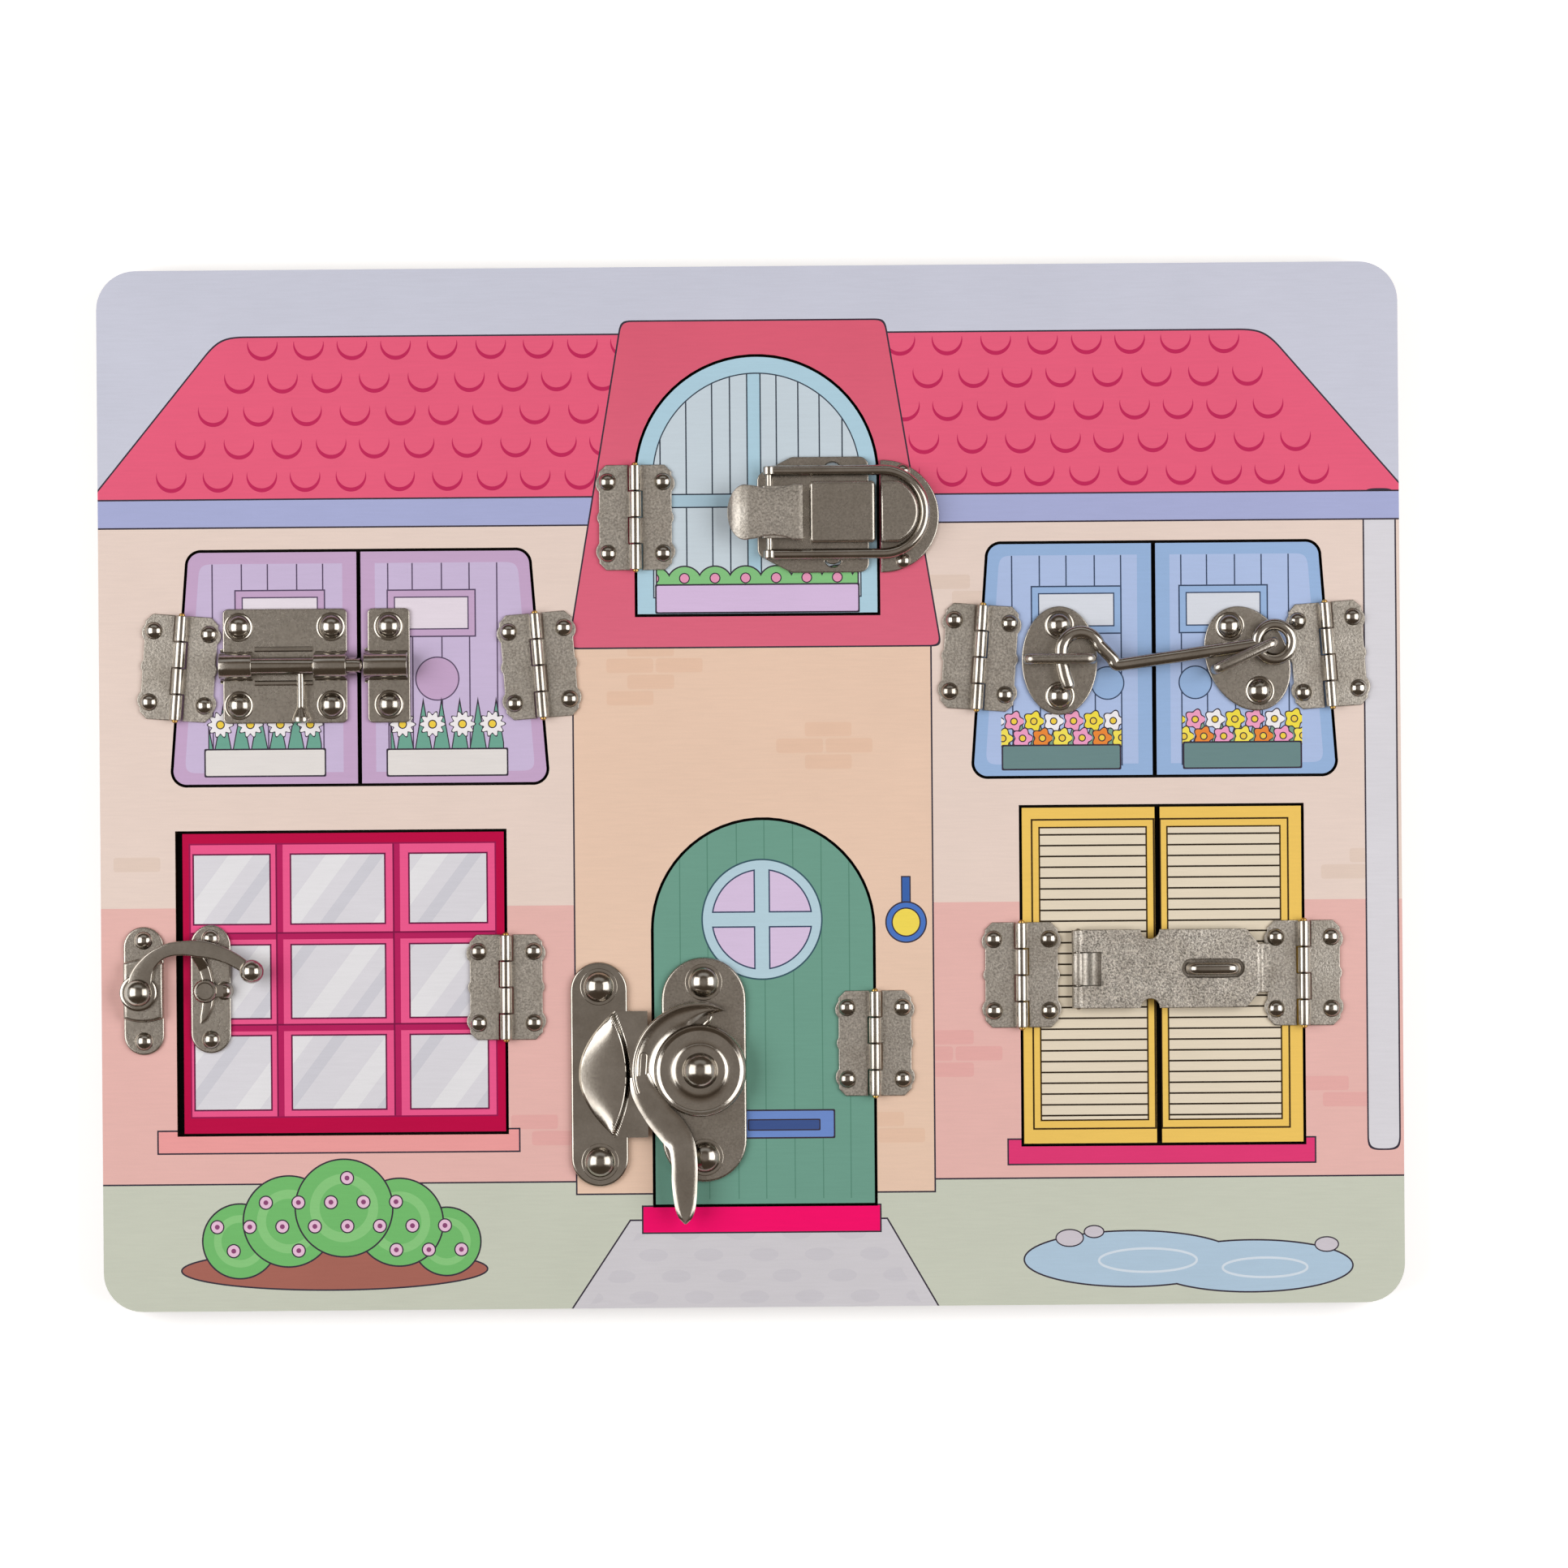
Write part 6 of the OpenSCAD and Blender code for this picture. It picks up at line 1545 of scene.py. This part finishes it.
def strap_solids():
    """The strap: a slotted plate with two notches, sloping shoulders and a narrower tongue that bends
    down."""
    notch = arc((22, STRAP_HALF), 2.9, 360, 180, 14)
    upper = np.concatenate([[[55.2, 7.6], [51.6, STRAP_HALF]], notch,
                            [[0.6, STRAP_HALF], [0.6, ROLL_HALF], [7.0, ROLL_HALF]]])
    outline = np.concatenate([(upper * [1, -1])[::-1], upper]) + HASP
    slot = obround(5.5, 19)[::-1, ::-1] + HASP + [STAPLE, 0]
    flat = plate(outline, 14.29, 15.49, 0.3, [slot])
    x = np.linspace(54.9, 58.9, 12)
    drop = np.interp(x, [54.9, 55.3, 56.0, 56.6, 58.9], [0, 0.15, 0.85, 1.05, 1.05])
    tongue = strip(at_height(HASP + np.column_stack([x, 0 * x]), 14.89 - drop), 7.5, 0.55, edge=0.25)
    rolls = [hasp_roll(low + ROLL_GAP, high - ROLL_GAP)
             for low, high in ((-STRAP_HALF, -ROLL_HALF), (ROLL_HALF, STRAP_HALF))]
    return [flat, tongue, *rolls]


def hasp_roll(low, high):
    """A knuckle about the hasp's pin."""
    return roll_solid(1.95, low, high, (*HASP, FACE + HASP_PIN_UP))


def leaf_ramp():
    """The part of the leaf that comes down from the pin to the plate."""
    half = 4.9
    side = [(1.2, 15.7), (2.0, 15.65), (2.6, 15.3), (3.3, 14.6), (4.0, 13.9), (4.6, 13.45), (5.4, 13.3),
            (7.0, 13.3)]
    top = [[(HASP[0] + x, HASP[1] + up * half, z) for up in (-1, 1)] for x, z in side]
    return shell(np.array(top), 0.9)


def staple_solid():
    """The staple's wire: two legs and a flat top with round bends."""
    bend = 3.0
    half = np.concatenate([[[-7.2, 12.6]], arc((bend - 7.2, 15.5), bend, 180, 90, 10)])
    plan = np.concatenate([half, (half * [-1, 1])[::-1]])
    path = np.column_stack([HASP[0] + STAPLE + plan[:, 0], np.full(len(plan), HASP[1]), plan[:, 1]])
    return tube(path, 1.5, up=(0, 1, 0), sides=24, flat=(1, 1.26))


def make_hasp():
    """The hasp: fixed leaf, pin, strap, staple plate and staple."""
    leaf = plate(rectangle(17.6, 21.8, 1.0, HASP + [11.2, 0]), FACE, FACE + 1.2, 0.3)
    tab = plate(rectangle(10, 9.9, 0.3, HASP + [5, 0]), FACE, FACE + 1.15, 0.2)
    fixed = [leaf, tab, hasp_roll(-4.95, 4.95), leaf_ramp()]
    pin = tube([(HASP[0], HASP[1] + y, FACE + HASP_PIN_UP) for y in (-11.6, 0, 11.6)], 0.95)
    sheet = plate(rectangle(24, 17, 1.5, HASP + [STAPLE, 0]), FACE, FACE + 1.2, 0.3)
    make_piece("hasp_leaf_dressed", fixed, "matt", "yellow_left", "hasp_leaf")
    make_piece("hasp_pin_dressed", [pin], "bright", "yellow_left", "hasp_pin")
    make_piece("hasp_strap_dressed", strap_solids(), "frosted", "hasp_strap", "hasp_strap")
    make_piece("staple_plate_dressed", [sheet], "plate", "yellow_right", "staple_plate")
    make_piece("staple_dressed", [staple_solid()], "bright", "yellow_right", "staple_loop")


# ---------------------------------------------------------------- Wood

PANEL_PICTURES = {
    "attic_door": attic_picture,
    **{node: functools.partial(shutter_picture, one=one) for node, one in SHUTTERS.items()},
    "pink_window": window_picture,
    "front_door": door_picture,
    "yellow_shutter_left": functools.partial(louvre_picture, left=88.6, right=121.5, inner=(86.3, 123.8)),
    "yellow_shutter_right": functools.partial(louvre_picture, left=127.9, right=162.6, inner=(125.7, 165.0)),
}


def dress_node(node, material):
    """Gives a CAD node its material."""
    mesh = frame["nodes"][node].data
    mesh.materials.clear()
    mesh.materials.append(material)


def dress_sheets():
    """The front sheet, which carries the house, and the backing behind it."""
    dress_node("front_panel", printed_wood("print_house", house_picture, SHEET_FOOT))
    shader = Shader(bpy.data.materials.new("backing_wood"))
    picture = backing_picture(shader)
    height = shader.height()
    bare = plywood_colour(shader, height, 0.0)
    colour = shader.mix(height > SHEET_FOOT - SKIN, bare, picture.colour)
    fibre = shader.noise(*FIBRE)
    material = shader.finish(Base_Color=colour, Roughness=shader.spread(fibre, 0.3, 0.7, 0.5, 0.65),
                             Normal=shader.bump(fibre, FIBRE_DEPTH, 0.5), Specular_IOR_Level=0.3)
    dress_node("backing_panel", material)


def dress_panels():
    """The nine panels, each with its own picture."""
    for node, picture_of in PANEL_PICTURES.items():
        dress_node(node, printed_wood("print_" + node, picture_of, PANEL_FOOT))


# ---------------------------------------------------------------- Stage

def make_floor():
    """A white floor: a diffuse sheet that the camera and reflections see as white, with the object's
    shadow."""
    size, height = 6.0, -0.0002
    mesh = bpy.data.meshes.new("floor")
    corners = [(-size, -size, height), (size, -size, height), (size, size, height), (-size, size, height)]
    mesh.from_pydata(corners, [], [(0, 1, 2, 3)])
    floor = bpy.data.objects.new("floor", mesh)
    bpy.context.scene.collection.objects.link(floor)
    shader = Shader(bpy.data.materials.new("white_floor"))
    diffuse = shader.node("BsdfDiffuse", {}, {"Color": "FFFFFF"})
    glow = shader.node("Emission", {}, {"Color": "FFFFFF", "Strength": 0.35})
    rays = shader.node("LightPath", {}, {}, "Is Camera Ray")
    seen = lowest(rays + shader.other(rays, "Is Glossy Ray") + shader.other(rays, "Is Transmission Ray"), 1.0)
    nothing = shader.node("Emission", {}, {"Strength": 0.0})
    extra = shader.node("MixShader", {}, {0: seen, 1: nothing, 2: glow})
    shader.close(shader.node("AddShader", {}, {0: diffuse, 1: extra}))
    mesh.materials.append(shader.owner)


def make_world(level):
    """Surroundings for the metal to reflect: grey above, brighter to the left and right, darker before and
    behind. The camera sees them as plain white."""
    world = bpy.data.worlds.new("studio")
    bpy.context.scene.world = world
    shader = Shader(world, "Generated")
    x = shader.node("SeparateXYZ", {}, {0: shader.place})
    y, z = shader.other(x, 1), shader.other(x, 2)
    sides = shader.spread(abs(x) - abs(y), 0.3, 0.7, 0.10, 0.6)
    band = shader.spread(abs(z - 0.6), 0.2, 0.08) * shader.spread(y - abs(x), 0.0, 0.3) * 0.45
    overhead = shader.spread(z, 0.84, 0.96)
    strength = shader.spread(overhead, 0.0, 1.0, sides + band, 0.34) * level
    tint = shader.mix(shader.spread(strength, 0.1, 0.5), "FFE2C6", "FFFFFF")
    camera = shader.node("LightPath", {}, {}, "Is Camera Ray")
    strength = strength + camera * (1 - strength)
    tint = shader.mix(camera, tint, "FFFFFF")
    shader.close(shader.node("Background", {}, {"Color": tint, "Strength": strength}), "World")


def make_lamp(name, place, size, power):
    """A soft box that faces the board."""
    data = bpy.data.lights.new(name, "AREA")
    data.shape = "RECTANGLE"
    data.size, data.size_y = size
    data.energy = power
    lamp = bpy.data.objects.new(name, data)
    bpy.context.scene.collection.objects.link(lamp)
    lamp.location = place
    lamp.rotation_euler = Euler((0.0, math.atan2(place[0], place[2]), 0.0))


def make_camera(height, lens):
    """A camera straight above, turned a little about its own line of sight."""
    data = bpy.data.cameras.new("camera")
    data.lens = lens
    data.sensor_width = 36.0
    data.clip_start, data.clip_end = 0.05, 20.0
    camera = bpy.data.objects.new("camera", data)
    bpy.context.scene.collection.objects.link(camera)
    camera.location = (0.0103, 0.00075, FACE * MM + height)
    camera.rotation_euler = Euler((0.0, 0.0, math.radians(-0.46)))
    bpy.context.scene.camera = camera


# ---------------------------------------------------------------- Operators

class BOARD_OT_sheets(bpy.types.Operator):
    """Prints the house on the front sheet and dresses the backing"""
    bl_idname = "board.sheets"
    bl_label = "Sheets"

    def execute(self, context):
        dress_sheets()
        return {"FINISHED"}


class BOARD_OT_panels(bpy.types.Operator):
    """Prints the nine panels"""
    bl_idname = "board.panels"
    bl_label = "Panels"

    def execute(self, context):
        dress_panels()
        return {"FINISHED"}


class BOARD_OT_hinges(bpy.types.Operator):
    """Makes the nine hinges"""
    bl_idname = "board.hinges"
    bl_label = "Hinges"

    def execute(self, context):
        make_hinges()
        return {"FINISHED"}


class BOARD_OT_rivets(bpy.types.Operator):
    """Makes the rivets' heads"""
    bl_idname = "board.rivets"
    bl_label = "Rivets"

    def execute(self, context):
        make_rivets()
        return {"FINISHED"}


class BOARD_OT_bolt(bpy.types.Operator):
    """Makes the barrel bolt on the lilac shutters"""
    bl_idname = "board.bolt"
    bl_label = "Barrel bolt"

    def execute(self, context):
        make_bolt()
        return {"FINISHED"}


class BOARD_OT_toggle(bpy.types.Operator):
    """Makes the toggle latch on the attic door"""
    bl_idname = "board.toggle"
    bl_label = "Toggle latch"

    def execute(self, context):
        make_toggle()
        return {"FINISHED"}


class BOARD_OT_hook(bpy.types.Operator):
    """Makes the cabin hook on the blue shutters"""
    bl_idname = "board.hook"
    bl_label = "Cabin hook"

    def execute(self, context):
        make_hook()
        return {"FINISHED"}


class BOARD_OT_clasp(bpy.types.Operator):
    """Makes the swing clasp of the window"""
    bl_idname = "board.clasp"
    bl_label = "Swing clasp"

    def execute(self, context):
        make_clasp()
        return {"FINISHED"}


class BOARD_OT_sash(bpy.types.Operator):
    """Makes the sash lock of the front door"""
    bl_idname = "board.sash"
    bl_label = "Sash lock"

    def execute(self, context):
        make_sash()
        return {"FINISHED"}


class BOARD_OT_hasp(bpy.types.Operator):
    """Makes the hasp on the louvred shutters"""
    bl_idname = "board.hasp"
    bl_label = "Hasp"

    def execute(self, context):
        make_hasp()
        return {"FINISHED"}


class BOARD_OT_stage(bpy.types.Operator):
    """Makes the floor, the lights, the surroundings and the camera"""
    bl_idname = "board.stage"
    bl_label = "Stage"

    def execute(self, context):
        studio = context.scene.studio
        context.scene.view_settings.view_transform = "Standard"
        make_floor()
        make_world(studio.sky_level)
        for name, side in (("left_soft_box", -1), ("right_soft_box", 1)):
            make_lamp(name, (side * 0.8, 0.05, 0.75), (0.75, 0.95), studio.lamp_power)
        make_camera(studio.camera_height, studio.lens)
        return {"FINISHED"}


class BOARD_PT_latches(bpy.types.Panel):
    """The board's sizes, colours and pieces"""
    bl_label = "Latches board"
    bl_idname = "BOARD_PT_latches"
    bl_space_type = "VIEW_3D"
    bl_region_type = "UI"
    bl_category = "Latches"

    def draw(self, context):
        for name in GROUPS:
            group = getattr(context.scene, name)
            box = self.layout.box()
            for key in group.bl_rna.properties.keys():
                if key not in ("rna_type", "name"):
                    box.prop(group, key)
        for operator in OPERATORS:
            self.layout.operator(operator.bl_idname)


GROUPS = {"board_print": BoardPrint, "panel_paint": PanelPaint, "metal_finish": MetalFinish, "studio": Studio}
OPERATORS = (BOARD_OT_stage, BOARD_OT_sheets, BOARD_OT_panels, BOARD_OT_hinges, BOARD_OT_rivets,
             BOARD_OT_bolt, BOARD_OT_toggle, BOARD_OT_hook, BOARD_OT_clasp, BOARD_OT_sash, BOARD_OT_hasp)
CLASSES = (*GROUPS.values(), *OPERATORS, BOARD_PT_latches)


def register():
    for item in CLASSES:
        bpy.utils.register_class(item)
    for name, group in GROUPS.items():
        setattr(bpy.types.Scene, name, PointerProperty(type=group))


def unregister():
    for name in GROUPS:
        delattr(bpy.types.Scene, name)
    for item in reversed(CLASSES):
        bpy.utils.unregister_class(item)


def main():
    """Makes every piece."""
    register()
    for operator in OPERATORS:
        group, name = operator.bl_idname.split(".")
        getattr(getattr(bpy.ops, group), name)()


if __name__ == "__main__":
    main()
